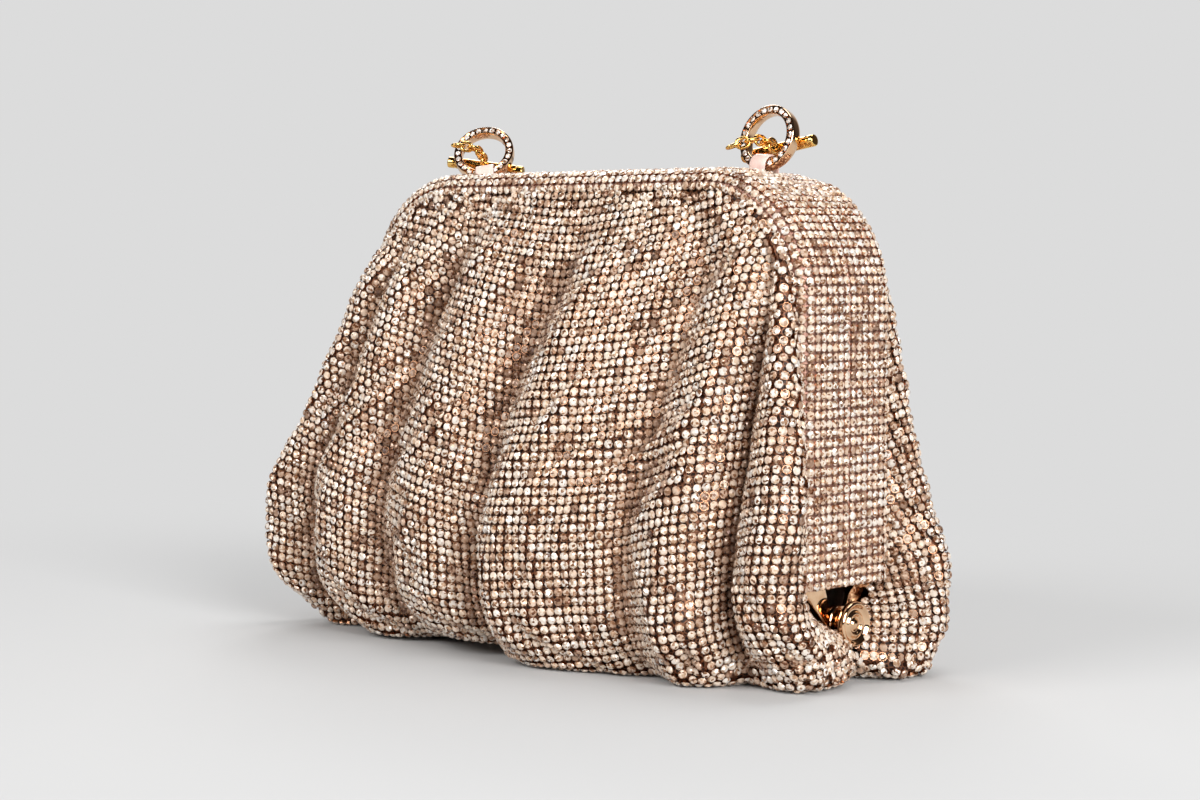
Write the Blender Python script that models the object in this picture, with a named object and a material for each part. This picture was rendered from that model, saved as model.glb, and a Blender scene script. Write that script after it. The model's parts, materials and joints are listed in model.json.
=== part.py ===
"""A crystal-mesh evening clutch on a hinged two-half arch frame, at real size.

Metres, +Z up. The origin is on the ground under the middle of the bag, +X runs along
the bag towards one hinge, and the front faces -Y. Run it in Blender to build the model.
"""

import math

import bmesh
import bpy
from mathutils import Matrix, Vector

# Arch: the outer face of the mesh cover, seen from the front
ARCH_HALF_WIDTH = 0.1000
BAG_HEIGHT = 0.1605
SHOULDER_RADIUS = 0.0410
SHOULDER_STEPS = 6
TOP_STEPS = 4
LEG_STEPS = 3

# Gaps between neighbours
GAP = 0.0003
PARTING_HALF_GAP = 0.00015

# Mesh cover of each frame half
COVER_DEPTH = 0.0220
COVER_THICKNESS = 0.0024
COVER_EDGE_RADIUS = 0.0050
COVER_EDGE_STEPS = 4
COVER_FOOT_HEIGHT = 0.0280

# Metal channel under each cover
METAL = 0.0011
METAL_EDGE_STEPS = 2
FLANGE_HEIGHT = 0.0060
TAPER_STEPS = 3
LEG_FOOT_HEIGHT = 0.0145
LEG_FOOT_DEPTH = 0.0075
FLANGE_FOOT_HEIGHT = 0.0240
LEG_CLEAR_TOP = 0.0080
LEG_CLEAR_FOOT = 0.0035
LEG_CLEAR_RISE = 0.0010

# Hinge at each end
HINGE_HEIGHT = 0.0160
PIN_RADIUS = 0.0020
PIN_CLEARANCE = 0.0001
PIN_HEAD_RADIUS = 0.0032
PIN_HEAD_THICKNESS = 0.0012
LUG_RADIUS = 0.0055
LUG_THICKNESS = 0.0016
LUG_PROUD = 0.0002
BARREL_RADIUS = 0.0050
BARREL_WAIST = 0.0040
BARREL_LENGTH = 0.0028
CAP_RADIUS = 0.0075
CAP_THICKNESS = 0.0033
CAP_GROOVE_DEPTH = 0.0009
ROUND_STEPS = 24

# Cap outline: its edge as shares of thickness and radius, then its rings as shares of radius and depth
CAP_EDGE_SHARES = (
    (0.0, 0.70),
    (0.25, 0.97),
    (0.55, 1.00),
    (0.85, 0.96),
    (1.00, 0.88),
)
CAP_RING_SHARES = (
    (0.78, 0.0),
    (0.72, 1.0),
    (0.60, 1.0),
    (0.54, 0.25),
    (0.44, 0.25),
    (0.38, 1.0),
    (0.26, 1.0),
    (0.18, 0.1),
)

# Closing magnets inside the channels, at the top
MAGNET_RADIUS = 0.0021
MAGNET_LENGTH = 0.0030
MAGNET_FROM_MIDDLE = 0.0250
MAGNET_STEPS = 12

# Retaining strip that holds the cloth edges in each channel
STRIP_THICKNESS = 0.0009
STRIP_MARGIN = 0.0006
STRIP_FOOT_HEIGHT = 0.0300

# Pouch panels
PANEL_THICKNESS = 0.0022
BELLY_HEIGHT = 0.0420
BELLY_DEPTH = 0.0545
CHEEK_REACH = 0.0490
CHEEK_PLACE_SHARE = 0.72
NOTCH_HALF_WIDTH = 0.1040
NOTCH_HALF_DEPTH = 0.0050
NOTCH_POWER = 0.75
SLICE_POWER = 2.4
BELLY_STEPS = 5
FOOT_STEPS = 5

# How far a panel's middle stands out beyond the frame: share of the height, share of the reach
BELLY_SHARES = (
    (0.0, 0.65),
    (0.05, 0.85),
    (0.125, 0.97),
    (0.26, 1.0),
    (0.436, 0.82),
    (0.623, 0.56),
    (0.81, 0.24),
    (0.935, 0.045),
    (0.974, 0.0),
)

# How far the cheeks stand out beyond the legs: share of the height, share of the cheeks' reach
LEFT_CHEEK_SHARES = (
    (0.0, 0.50),
    (0.031, 0.67),
    (0.1, 0.90),
    (0.21, 1.0),
    (0.325, 0.94),
    (0.486, 0.63),
    (0.698, 0.35),
    (0.81, 0.18),
    (0.9, 0.06),
    (0.974, 0.0),
)
FRONT_CHEEK_SHARES = (
    (0.0, 0.20),
    (0.031, 0.27),
    (0.1, 0.37),
    (0.21, 0.43),
    (0.325, 0.43),
    (0.486, 0.35),
    (0.698, 0.18),
    (0.81, 0.10),
    (0.9, 0.04),
    (0.974, 0.0),
)
BACK_CHEEK_SHARES = (
    (0.0, 0.32),
    (0.031, 0.37),
    (0.1, 0.45),
    (0.21, 0.43),
    (0.325, 0.29),
    (0.486, 0.19),
    (0.698, 0.12),
    (0.81, 0.08),
    (0.9, 0.04),
    (0.974, 0.0),
)

# Folds of each panel: place across it near the top, half way and at the foot, from -1 to 1,
# then the share of FOLD_DEPTH that each stands out (or sinks, where negative) at those heights
FOLD_DEPTH = 0.0060
FOLD_TOP_HEIGHT = 0.1400
FOLD_FADE = 0.0300
CREASE_MID_SHARE = 0.40
FRONT_FOLD_SHARES = (
    (-0.76, -0.77, -0.75, 0.0, -0.5, -0.6),
    (-0.66, -0.67, -0.65, 0.2, 0.5, 0.6),
    (-0.57, -0.56, -0.55, -0.3, -0.8, -0.9),
    (-0.46, -0.46, -0.41, 0.3, 0.5, 0.6),
    (-0.28, -0.35, -0.28, -0.8, -1.0, -0.7),
    (-0.16, -0.21, -0.17, 0.6, 0.6, 0.5),
    (0.04, -0.05, -0.06, -0.3, -0.9, -0.7),
    (0.12, 0.025, 0.01, 0.3, 0.9, 1.0),
    (0.27, 0.17, 0.15, 0.1, 0.2, 0.2),
    (0.44, 0.29, 0.26, -0.4, -0.8, -0.7),
    (0.60, 0.43, 0.40, 0.3, 0.6, 0.7),
    (0.74, 0.53, 0.50, -0.2, -1.1, -1.0),
    (0.80, 0.66, 0.66, 0.1, 0.6, 0.7),
    (0.87, 0.80, 0.80, 0.0, -0.4, -0.4),
)
BACK_FOLD_SHARES = (
    (-0.86, -0.80, -0.78, -0.2, -0.6, -0.6),
    (-0.72, -0.66, -0.62, 0.2, 0.6, 0.7),
    (-0.56, -0.49, -0.45, -0.4, -1.0, -0.9),
    (-0.40, -0.34, -0.36, 0.3, 0.7, 0.6),
    (-0.24, -0.18, -0.15, -0.3, -0.9, -0.7),
    (-0.06, -0.01, 0.04, 0.3, 0.7, 0.7),
    (0.12, 0.20, 0.21, -0.4, -1.0, -0.8),
    (0.29, 0.36, 0.38, 0.3, 0.6, 0.6),
    (0.50, 0.52, 0.52, -0.4, -0.9, -0.8),
    (0.72, 0.67, 0.66, 0.2, 0.6, 0.6),
    (0.86, 0.81, 0.80, -0.2, -0.4, -0.4),
)

# Lining bag
LINING_THICKNESS = 0.0008
LINING_FOLD_ROOM = 0.0078
LINING_MOUTH_SHARE = 0.897
LINING_FLOOR_GAP = 0.0008
LINING_CORNER_HEIGHT = 0.0240
LINING_CORNER_DEPTH = 0.0180
LINING_POWER = 3.0
LINING_STEPS = 18
LINING_WALL_STEPS = 6
LINING_CORNER_STEPS = 4

# Toggle rings on top
RING_OUTER_RADIUS = 0.0110
RING_WALL = 0.0030
RING_AXIAL = 0.0050
RING_SEAT = 0.0019
RING_STEPS = 24
RING_BACK_STEPS = 4
RIM_HALF_WIDTH = 0.00125
RIM_BEVEL = 0.0006
PAVE_HALF_WIDTH = 0.00095
PAVE_DEPTH = 0.0005
RING_FROM_PARTING = 0.0046

# Satin tab that ties each ring to the frame
TAB_WIDTH = 0.0065
TAB_THICKNESS = 0.0007
TAB_STEPS = 8

# Toggle bar behind each ring
BAR_LENGTH = 0.0290
BAR_RADIUS = 0.0020
BAR_COLLAR = 0.0024
BAR_GROOVE = 0.0003
BAR_EDGE = 0.0004
BAR_BELOW_CENTRE = 0.0019
BAR_STEPS = 14
EYE_RADIUS = 0.0022
EYE_WIRE = 0.0006
EYE_STEPS = 12

# Chain links hung from each bar's eye
LINK_LENGTH = 0.0055
LINK_WIDTH = 0.0042
LINK_WIRE = 0.00055
LINK_CLEARANCE = 0.0001
LINKS = 5
LINK_ARC_STEPS = 5
WIRE_STEPS = 6
CHAIN_SIDE_SHARE = 0.75
CHAIN_FORWARD_SHARE = 0.55
CHAIN_DROP_SHARE = 0.36
CHAIN_TURN_LINKS = 3

# One overrun serves every cut and every joined overlap
OVERRUN = 0.0005

# Each ring: its name, its place as a share of the arch's half width, then in degrees its turn,
# its lean and how far its bar is turned in it
RING_PLACE_SHARES = (
    ("right", 0.615, 0.0, 16.0, 14.0),
    ("left", -0.672, 38.0, 26.0, -20.0),
)
HALVES = (("front", -1.0), ("back", 1.0))
SIDES = (("right", 1.0), ("left", -1.0))

# Depths from the cover's outer face, inwards
METAL_OUTER = COVER_THICKNESS + GAP
METAL_INNER = METAL_OUTER + METAL
FLANGE_END = METAL_OUTER + FLANGE_HEIGHT
METAL_DEPTH = COVER_DEPTH - COVER_THICKNESS - GAP
METAL_EDGE_RADIUS = COVER_EDGE_RADIUS - COVER_THICKNESS - GAP
OUTER_LUG_END = METAL_INNER + LUG_PROUD
INNER_LUG_START = OUTER_LUG_END + GAP
INNER_LUG_END = INNER_LUG_START + LUG_THICKNESS
LEG_STEP = INNER_LUG_START - METAL_OUTER + LUG_PROUD
PANEL_EDGE = COVER_EDGE_RADIUS + GAP
EDGE_RELEASE_HEIGHT = COVER_FOOT_HEIGHT - GAP

# Radii of each satin tab about the ring's lowest stretch, which curves up inside it
RING_MEAN_RADIUS = RING_OUTER_RADIUS - 0.5 * RING_WALL
RING_RISE = RING_MEAN_RADIUS - math.sqrt(RING_MEAN_RADIUS**2 - (0.5 * TAB_WIDTH) ** 2)
TAB_INNER = math.hypot(RIM_HALF_WIDTH + RING_RISE, 0.5 * RING_AXIAL) + GAP
TAB_OUTER = TAB_INNER + TAB_THICKNESS


def clear_scene():
    """Remove what the file opened with."""
    for obj in list(bpy.data.objects):
        bpy.data.objects.remove(obj, do_unlink=True)


def material(name, colour, roughness, metallic):
    """A Principled material with one colour."""
    made = bpy.data.materials.new(name)
    made.use_nodes = True
    shader = made.node_tree.nodes["Principled BSDF"]
    shader.inputs["Base Color"].default_value = (*colour, 1.0)
    shader.inputs["Roughness"].default_value = roughness
    shader.inputs["Metallic"].default_value = metallic
    made.diffuse_color = (*colour, 1.0)
    return made


def add_object(name, mesh, finish, smooth_degrees=35.0):
    """Put a mesh in the scene under a node's name, shaded smooth up to an angle."""
    mesh.materials.append(finish)
    mesh.shade_smooth()
    mesh.set_sharp_from_angle(angle=math.radians(smooth_degrees))
    obj = bpy.data.objects.new(name, mesh)
    bpy.context.scene.collection.objects.link(obj)
    return obj


def mesh_from(name, points, faces, outwards=True):
    """A mesh from points and faces, with its normals made to agree."""
    mesh = bpy.data.meshes.new(name)
    mesh.from_pydata([tuple(point) for point in points], [], faces)
    if outwards:
        work = bmesh.new()
        work.from_mesh(mesh)
        bmesh.ops.recalc_face_normals(work, faces=work.faces)
        work.to_mesh(mesh)
        work.free()
    return mesh


def loft(name, loops, ring=False):
    """Skin a row of closed loops; the ends are capped unless the row itself closes."""
    count = len(loops[0])
    points = [point for loop in loops for point in loop]
    faces = []
    rows = len(loops) if ring else len(loops) - 1
    for row in range(rows):
        here = row * count
        there = ((row + 1) % len(loops)) * count
        for step in range(count):
            nearby = (step + 1) % count
            faces.append((here + step, here + nearby, there + nearby, there + step))
    if not ring:
        faces.append(tuple(range(count)))
        faces.append(tuple(range(len(points) - count, len(points))))
    return mesh_from(name, points, faces)


def turned(name, outline, start, direction, steps=ROUND_STEPS):
    """Turn an outline of (along, radius) about an axis that starts at a point."""
    axis = Vector(direction).normalized()
    side = axis.orthogonal().normalized()
    other = axis.cross(side)
    loops = []
    for along, radius in outline:
        loop = []
        for step in range(steps):
            angle = math.tau * step / steps
            arm = side * math.cos(angle) + other * math.sin(angle)
            loop.append(Vector(start) + axis * along + arm * radius)
        loops.append(loop)
    return loft(name, loops)


def tube(name, centres, planes, profile):
    """Sweep a profile round a closed path; each plane gives its two directions there."""
    loops = []
    for centre, (first, second) in zip(centres, planes):
        loops.append([centre + first * a + second * b for a, b in profile])
    return loft(name, loops, ring=True)


def join_shapes(obj, other, operation):
    """Apply a Boolean of one object on another and drop the second."""
    modifier = obj.modifiers.new("join", "BOOLEAN")
    modifier.operation = operation
    modifier.solver = "EXACT"
    modifier.object = other
    graph = bpy.context.evaluated_depsgraph_get()
    result = bpy.data.meshes.new_from_object(obj.evaluated_get(graph))
    obj.modifiers.clear()
    obj.data = result
    bpy.data.objects.remove(other, do_unlink=True)


def helper(mesh):
    """A hidden object for a Boolean."""
    obj = bpy.data.objects.new("helper", mesh)
    bpy.context.scene.collection.objects.link(obj)
    obj.hide_render = True
    obj.display_type = "WIRE"
    return obj


def arch_half_width(height, inset):
    """Half the width inside the arch at a height, measured at a depth below its face."""
    shoulder = BAG_HEIGHT - SHOULDER_RADIUS
    if height <= shoulder:
        return ARCH_HALF_WIDTH - inset
    reach = (SHOULDER_RADIUS - inset) ** 2 - (height - shoulder) ** 2
    return ARCH_HALF_WIDTH - SHOULDER_RADIUS + math.sqrt(max(reach, 0.0))


def arch_stations(foot_heights):
    """Places round the arch, from one foot over the top to the other, with their normals."""
    shoulder = BAG_HEIGHT - SHOULDER_RADIUS
    flat = ARCH_HALF_WIDTH - SHOULDER_RADIUS
    right = [((ARCH_HALF_WIDTH, height), (1.0, 0.0)) for height in foot_heights]
    for step in range(SHOULDER_STEPS + 1):
        angle = 0.5 * math.pi * step / SHOULDER_STEPS
        normal = (math.cos(angle), math.sin(angle))
        place = (flat + SHOULDER_RADIUS * normal[0], shoulder + SHOULDER_RADIUS * normal[1])
        right.append((place, normal))
    top = []
    for step in range(1, TOP_STEPS):
        top.append(((flat - 2.0 * flat * step / TOP_STEPS, BAG_HEIGHT), (0.0, 1.0)))
    left = [((-place[0], place[1]), (-normal[0], normal[1])) for place, normal in right]
    return right + top + left[::-1]


def spread(start, end, steps):
    """Evenly spaced values from start up to, and without, end."""
    return [start + (end - start) * step / steps for step in range(steps)]


def sweep_arch(name, stations, section):
    """Sweep a section of (depth, y) round the arch; the section may change with height."""
    loops = []
    for (x, z), normal in stations:
        loop = []
        for depth, y in section(z):
            loop.append(Vector((x - normal[0] * depth, y, z - normal[1] * depth)))
        loops.append(loop)
    return loft(name, loops)


def edge_arc(radius, depth_centre, y_centre, steps, side):
    """Quarter round from the outer face to the flank, as (depth, y)."""
    points = []
    for step in range(steps + 1):
        angle = 0.5 * math.pi * step / steps
        points.append(
            (
                depth_centre - radius * math.cos(angle),
                side * (y_centre + radius * math.sin(angle)),
            )
        )
    return points


def cover_section(side):
    """Section of the mesh cover: a wall with one rounded edge."""
    centre = COVER_DEPTH - COVER_EDGE_RADIUS
    outer = edge_arc(COVER_EDGE_RADIUS, COVER_EDGE_RADIUS, centre, COVER_EDGE_STEPS, side)
    inner = edge_arc(
        COVER_EDGE_RADIUS - COVER_THICKNESS, COVER_EDGE_RADIUS, centre, COVER_EDGE_STEPS, side
    )
    parting = side * PARTING_HALF_GAP
    return [(0.0, parting)] + outer + inner[::-1] + [(COVER_THICKNESS, parting)]


def smooth_share(value, low, high):
    """0 at low, 1 at high, eased between them."""
    share = min(max((value - low) / (high - low), 0.0), 1.0)
    return share * share * (3.0 - 2.0 * share)


def channel_section(side, stepped):
    """Section of the metal channel at a height: narrower and shallower towards its foot."""

    def section(height):
        taper = min(max((height - LEG_FOOT_HEIGHT) / (COVER_FOOT_HEIGHT - LEG_FOOT_HEIGHT), 0.0), 1.0)
        depth = LEG_FOOT_DEPTH + (METAL_DEPTH - LEG_FOOT_DEPTH) * taper
        flange = smooth_share(height, FLANGE_FOOT_HEIGHT, COVER_FOOT_HEIGHT)
        inner_flange = METAL + OVERRUN + (FLANGE_HEIGHT - METAL - OVERRUN) * flange
        outer_flange = max(inner_flange, METAL_EDGE_RADIUS + OVERRUN)
        shift = LEG_STEP * (1.0 - flange) if stepped else 0.0
        outer = METAL_OUTER + shift
        corner = METAL_EDGE_RADIUS
        centre = depth - corner
        inner_corner = corner - METAL
        near = PARTING_HALF_GAP
        if height <= COVER_FOOT_HEIGHT:
            near = LEG_CLEAR_FOOT + (LEG_CLEAR_TOP - LEG_CLEAR_FOOT) * taper
        return (
            [(outer, side * near)]
            + edge_arc(corner, outer + corner, centre, METAL_EDGE_STEPS, side)
            + [(outer + outer_flange, side * depth)]
            + [(outer + outer_flange, side * (depth - METAL))]
            + edge_arc(inner_corner, outer + corner, centre, METAL_EDGE_STEPS, side)[::-1]
            + [(outer + METAL, side * (near + METAL))]
            + [(outer + inner_flange, side * (near + METAL))]
            + [(outer + inner_flange, side * near)]
        )

    return section


def build_frame_half(half, side, gold):
    """One metal half of the frame: channel arch, tapered legs and an eared hinge lug."""
    stepped = side > 0.0
    heights = spread(LEG_FOOT_HEIGHT, FLANGE_FOOT_HEIGHT, TAPER_STEPS)
    heights += spread(FLANGE_FOOT_HEIGHT, COVER_FOOT_HEIGHT, TAPER_STEPS) + [COVER_FOOT_HEIGHT]
    leg_start = COVER_FOOT_HEIGHT + LEG_CLEAR_RISE
    heights += spread(leg_start, BAG_HEIGHT - SHOULDER_RADIUS, LEG_STEPS)
    name = f"{half}_frame"
    mesh = sweep_arch(name, arch_stations(heights), channel_section(side, stepped))
    frame = add_object(name, mesh, gold)
    start = INNER_LUG_START if stepped else METAL_OUTER - LUG_PROUD
    end = INNER_LUG_END if stepped else OUTER_LUG_END
    for _, end_side in SIDES:
        face = end_side * (ARCH_HALF_WIDTH - start)
        outline = [(0.0, LUG_RADIUS), (end - start, LUG_RADIUS)]
        lug = turned("lug", outline, (face, 0.0, HINGE_HEIGHT), (-end_side, 0.0, 0.0))
        join_shapes(frame, helper(lug), "UNION")
    bore = PIN_RADIUS + PIN_CLEARANCE
    for _, end_side in SIDES:
        face = end_side * (ARCH_HALF_WIDTH - start + OVERRUN)
        outline = [(0.0, bore), (end - start + 2.0 * OVERRUN, bore)]
        cutter = turned("bore", outline, (face, 0.0, HINGE_HEIGHT), (-end_side, 0.0, 0.0))
        join_shapes(frame, helper(cutter), "DIFFERENCE")
    return frame


def build_cover(half, side, crystal):
    """The crystal-mesh strip that wraps one frame half."""
    heights = spread(COVER_FOOT_HEIGHT, BAG_HEIGHT - SHOULDER_RADIUS, LEG_STEPS)
    name = f"{half}_frame_cover"
    section = cover_section(side)
    mesh = sweep_arch(name, arch_stations(heights), lambda height: section)
    return add_object(name, mesh, crystal)


def build_strip(half, side, steel):
    """The thin strip pressed into the channel against the cloth edges."""
    heights = spread(STRIP_FOOT_HEIGHT, BAG_HEIGHT - SHOULDER_RADIUS, LEG_STEPS)
    near = METAL_INNER + GAP
    far = FLANGE_END - STRIP_MARGIN
    outer = METAL_DEPTH - METAL - METAL_EDGE_RADIUS
    inner = outer - STRIP_THICKNESS
    section = [(near, side * outer), (far, side * outer), (far, side * inner), (near, side * inner)]
    name = f"{half}_retaining_strip"
    mesh = sweep_arch(name, arch_stations(heights), lambda height: section)
    return add_object(name, mesh, steel)


def build_magnets(half, side, steel):
    """Two small round magnets inside the channel, close to the parting face."""
    height = BAG_HEIGHT - METAL_INNER - GAP - MAGNET_RADIUS
    start = side * (PARTING_HALF_GAP + METAL + GAP)
    for end_name, end_side in SIDES:
        name = f"{half}_magnet_{end_name}"
        outline = [(0.0, MAGNET_RADIUS), (MAGNET_LENGTH, MAGNET_RADIUS)]
        place = (end_side * MAGNET_FROM_MIDDLE, start, height)
        mesh = turned(name, outline, place, (0.0, side, 0.0), MAGNET_STEPS)
        add_object(name, mesh, steel)


def build_hinge(end_name, end_side, gold):
    """Pin, barrel and ringed cap at one end of the hinge axis."""

    def place(depth):
        return (end_side * (ARCH_HALF_WIDTH - depth), 0.0, HINGE_HEIGHT)

    outwards = (end_side, 0.0, 0.0)
    barrel_inner = METAL_OUTER - LUG_PROUD - GAP
    barrel_outer = barrel_inner - BARREL_LENGTH
    head_outer = INNER_LUG_END + GAP
    head_inner = head_outer + PIN_HEAD_THICKNESS
    shank = head_inner - barrel_outer
    name = f"hinge_pin_{end_name}"
    outline = [
        (0.0, PIN_HEAD_RADIUS),
        (PIN_HEAD_THICKNESS, PIN_HEAD_RADIUS),
        (PIN_HEAD_THICKNESS, PIN_RADIUS),
        (shank, PIN_RADIUS),
    ]
    add_object(name, turned(name, outline, place(head_inner), outwards), gold)

    name = f"hinge_barrel_{end_name}"
    outline = [
        (0.0, BARREL_WAIST),
        (0.5 * BARREL_LENGTH, BARREL_WAIST),
        (BARREL_LENGTH, BARREL_RADIUS),
    ]
    barrel = add_object(name, turned(name, outline, place(barrel_inner), outwards), gold)
    bore = PIN_RADIUS + PIN_CLEARANCE
    outline = [(0.0, bore), (BARREL_LENGTH + 2.0 * OVERRUN, bore)]
    cutter = turned("bore", outline, place(barrel_inner + OVERRUN), outwards)
    join_shapes(barrel, helper(cutter), "DIFFERENCE")

    name = f"hinge_cap_{end_name}"
    rim = CAP_THICKNESS
    floor = CAP_THICKNESS - CAP_GROOVE_DEPTH
    outline = [(rim * along, CAP_RADIUS * radius) for along, radius in CAP_EDGE_SHARES]
    for radius, depth in CAP_RING_SHARES:
        outline.append((rim + (floor - rim) * depth, CAP_RADIUS * radius))
    mesh = turned(name, outline, place(barrel_outer - GAP), outwards)
    add_object(name, mesh, gold)


def read_shares(table, share):
    """Value of a share table at a share, straight between its rows."""
    share = min(max(share, table[0][0]), table[-1][0])
    for low, high in zip(table, table[1:]):
        if share <= high[0]:
            return low[1] + (high[1] - low[1]) * (share - low[0]) / (high[0] - low[0])
    return table[-1][1]


def belly_depth(height):
    """How far the middle of a panel stands out from the parting plane at a height."""
    return COVER_DEPTH + (BELLY_DEPTH - COVER_DEPTH) * read_shares(BELLY_SHARES, height / BAG_HEIGHT)


def panel_edge(height):
    """Where a panel's edge lies at a height: half width and distance from the parting plane."""
    if height >= EDGE_RELEASE_HEIGHT:
        return arch_half_width(height, PANEL_EDGE), COVER_DEPTH
    share = height / EDGE_RELEASE_HEIGHT
    leg = ARCH_HALF_WIDTH - PANEL_EDGE
    half_width = NOTCH_HALF_WIDTH + (leg - NOTCH_HALF_WIDTH) * share
    depth = NOTCH_HALF_DEPTH + (COVER_DEPTH - NOTCH_HALF_DEPTH) * share**NOTCH_POWER
    return half_width, depth


def cheek_reach(half, across, height):
    """How far a panel's cheek stands out beyond the leg at a height, on the side that across is on."""
    behind = BACK_CHEEK_SHARES if half == "back" else FRONT_CHEEK_SHARES
    table = LEFT_CHEEK_SHARES if across < 0.0 else behind
    return CHEEK_REACH * read_shares(table, height / BAG_HEIGHT)


def smooth_point(half, across, height):
    """A point of a panel before its folds, as x and the distance from the parting plane."""
    edge_x, edge_y = panel_edge(height)
    power = 2.0 / SLICE_POWER
    angle = 0.5 * math.pi * abs(across)
    round_out = math.sin(math.pi * abs(across) ** (math.log(0.5) / math.log(CHEEK_PLACE_SHARE)))
    x = edge_x * math.sin(angle) ** power + cheek_reach(half, across, height) * round_out
    y = edge_y + (belly_depth(height) - edge_y) * max(math.cos(angle), 0.0) ** power
    return math.copysign(x, across), y


def at_height(top, middle, foot, height):
    """Value at a height of a curve through its three given values."""
    share = min(max(height / FOLD_TOP_HEIGHT, 0.0), 1.0)
    lower = foot * (1.0 - share) * (1.0 - 2.0 * share)
    return lower + 4.0 * middle * share * (1.0 - share) + top * share * (2.0 * share - 1.0)


def fold_columns(half, height):
    """Place across and push of each column: along every fold, and midway between two."""
    fade = min((BAG_HEIGHT - PANEL_EDGE - height) / FOLD_FADE, 1.0)
    table = BACK_FOLD_SHARES if half == "back" else FRONT_FOLD_SHARES
    lines = [(-1.0, 0.0)]
    for row in table:
        place = at_height(*row[:3], height)
        lines.append((place, FOLD_DEPTH * fade * at_height(*row[3:], height)))
    lines.append((1.0, 0.0))
    columns = []
    for near, far in zip(lines, lines[1:]):
        high = max(near[1], far[1])
        low = min(near[1], far[1])
        columns.append(near)
        columns.append((0.5 * (near[0] + far[0]), high + (low - high) * CREASE_MID_SHARE))
    return columns + [lines[-1]]


def panel_slice(half, height):
    """One level line of the front panel, from one edge to the other, as (x, y)."""
    line = []
    columns = fold_columns(half, height)
    plain = [smooth_point(half, across, height) for across, _ in columns]
    for step, (_, push) in enumerate(columns):
        x, y = plain[step]
        if 0 < step < len(columns) - 1:
            along_x = plain[step + 1][0] - plain[step - 1][0]
            along_y = plain[step + 1][1] - plain[step - 1][1]
            reach = push / math.hypot(along_x, along_y)
            x -= along_y * reach
            y += along_x * reach
        line.append((x, -y))
    return line


def panel_heights():
    """Heights of the panel's level lines, from its top edge to the ground."""
    shoulder = BAG_HEIGHT - SHOULDER_RADIUS
    radius = SHOULDER_RADIUS - PANEL_EDGE
    heights = []
    for step in range(SHOULDER_STEPS):
        heights.append(shoulder + radius * math.cos(0.5 * math.pi * step / SHOULDER_STEPS))
    heights += spread(shoulder, BELLY_HEIGHT, BELLY_STEPS)
    for step in range(FOOT_STEPS + 1):
        heights.append(BELLY_HEIGHT * (1.0 - math.sin(0.5 * math.pi * step / FOOT_STEPS)))
    return sorted(heights + [EDGE_RELEASE_HEIGHT], reverse=True)


def build_panel(half, side, crystal):
    """One soft crystal-mesh panel, from the arch down to the seam under the bag."""
    rows = []
    for height in panel_heights():
        rows.append([(x, -side * y, height) for x, y in panel_slice(half, height)])
    seam_y = side * PARTING_HALF_GAP
    rows.append([(NOTCH_HALF_WIDTH * across, seam_y, 0.0) for across, _ in fold_columns(half, 0.0)])
    count = len(rows[0])
    faces = []
    for row in range(len(rows) - 1):
        for step in range(count - 1):
            first = row * count + step
            corners = (first, first + 1, first + 1 + count, first + count)
            faces.append(corners if side > 0.0 else corners[::-1])
    points = [point for row in rows for point in row]
    name = f"{half}_mesh_panel"
    panel = add_object(name, mesh_from(name, points, faces, outwards=False), crystal, 60.0)
    wall = panel.modifiers.new("wall", "SOLIDIFY")
    wall.thickness = PANEL_THICKNESS
    wall.offset = -1.0
    wall.use_even_offset = False
    wall.use_rim = True
    return panel


def build_lining(satin):
    """The satin bag inside, open at the mouth."""
    floor = PANEL_THICKNESS + LINING_FLOOR_GAP
    corner = floor + LINING_CORNER_HEIGHT
    levels = []
    for height in spread(BAG_HEIGHT * LINING_MOUTH_SHARE, corner, LINING_WALL_STEPS):
        levels.append((height, 0.0))
    for step in range(LINING_CORNER_STEPS + 1):
        angle = 0.5 * math.pi * step / LINING_CORNER_STEPS
        height = corner - LINING_CORNER_HEIGHT * math.sin(angle)
        levels.append((height, LINING_CORNER_DEPTH * (1.0 - math.cos(angle))))
    loops = []
    for height, tuck in levels:
        half_width = arch_half_width(height, FLANGE_END + GAP) - tuck
        level = max(height, BELLY_HEIGHT)
        room = LINING_FOLD_ROOM * min((BAG_HEIGHT - height) / FOLD_FADE, 1.0)
        half_depth = belly_depth(level) - PANEL_THICKNESS - room - tuck
        loop = []
        for step in range(LINING_STEPS):
            angle = math.tau * step / LINING_STEPS
            cosine = math.cos(angle)
            sine = math.sin(angle)
            x = math.copysign(abs(cosine) ** (2.0 / LINING_POWER), cosine)
            y = math.copysign(abs(sine) ** (2.0 / LINING_POWER), sine)
            loop.append((half_width * x, half_depth * y, height))
        loops.append(loop)
    count = LINING_STEPS
    points = [point for loop in loops for point in loop]
    faces = []
    for row in range(len(loops) - 1):
        for step in range(count):
            nearby = (step + 1) % count
            first = row * count
            faces.append((first + step, first + count + step, first + count + nearby, first + nearby))
    last = len(points) - count
    faces.append(tuple(reversed(range(last, len(points)))))
    lining = add_object("satin_lining", mesh_from("satin_lining", points, faces, False), satin, 60.0)
    wall = lining.modifiers.new("wall", "SOLIDIFY")
    wall.thickness = LINING_THICKNESS
    wall.offset = -1.0
    wall.use_rim = True
    return lining


def arch_place(x):
    """Point of the cover's outer face over a place along the bag, and its normal."""
    side = math.copysign(1.0, x)
    beyond = max(abs(x) - (ARCH_HALF_WIDTH - SHOULDER_RADIUS), 0.0)
    slope = beyond / SHOULDER_RADIUS
    normal = Vector((side * slope, 0.0, math.sqrt(1.0 - slope * slope)))
    height = BAG_HEIGHT - SHOULDER_RADIUS * (1.0 - normal.z)
    return Vector((x, 0.0, height)), normal


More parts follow.
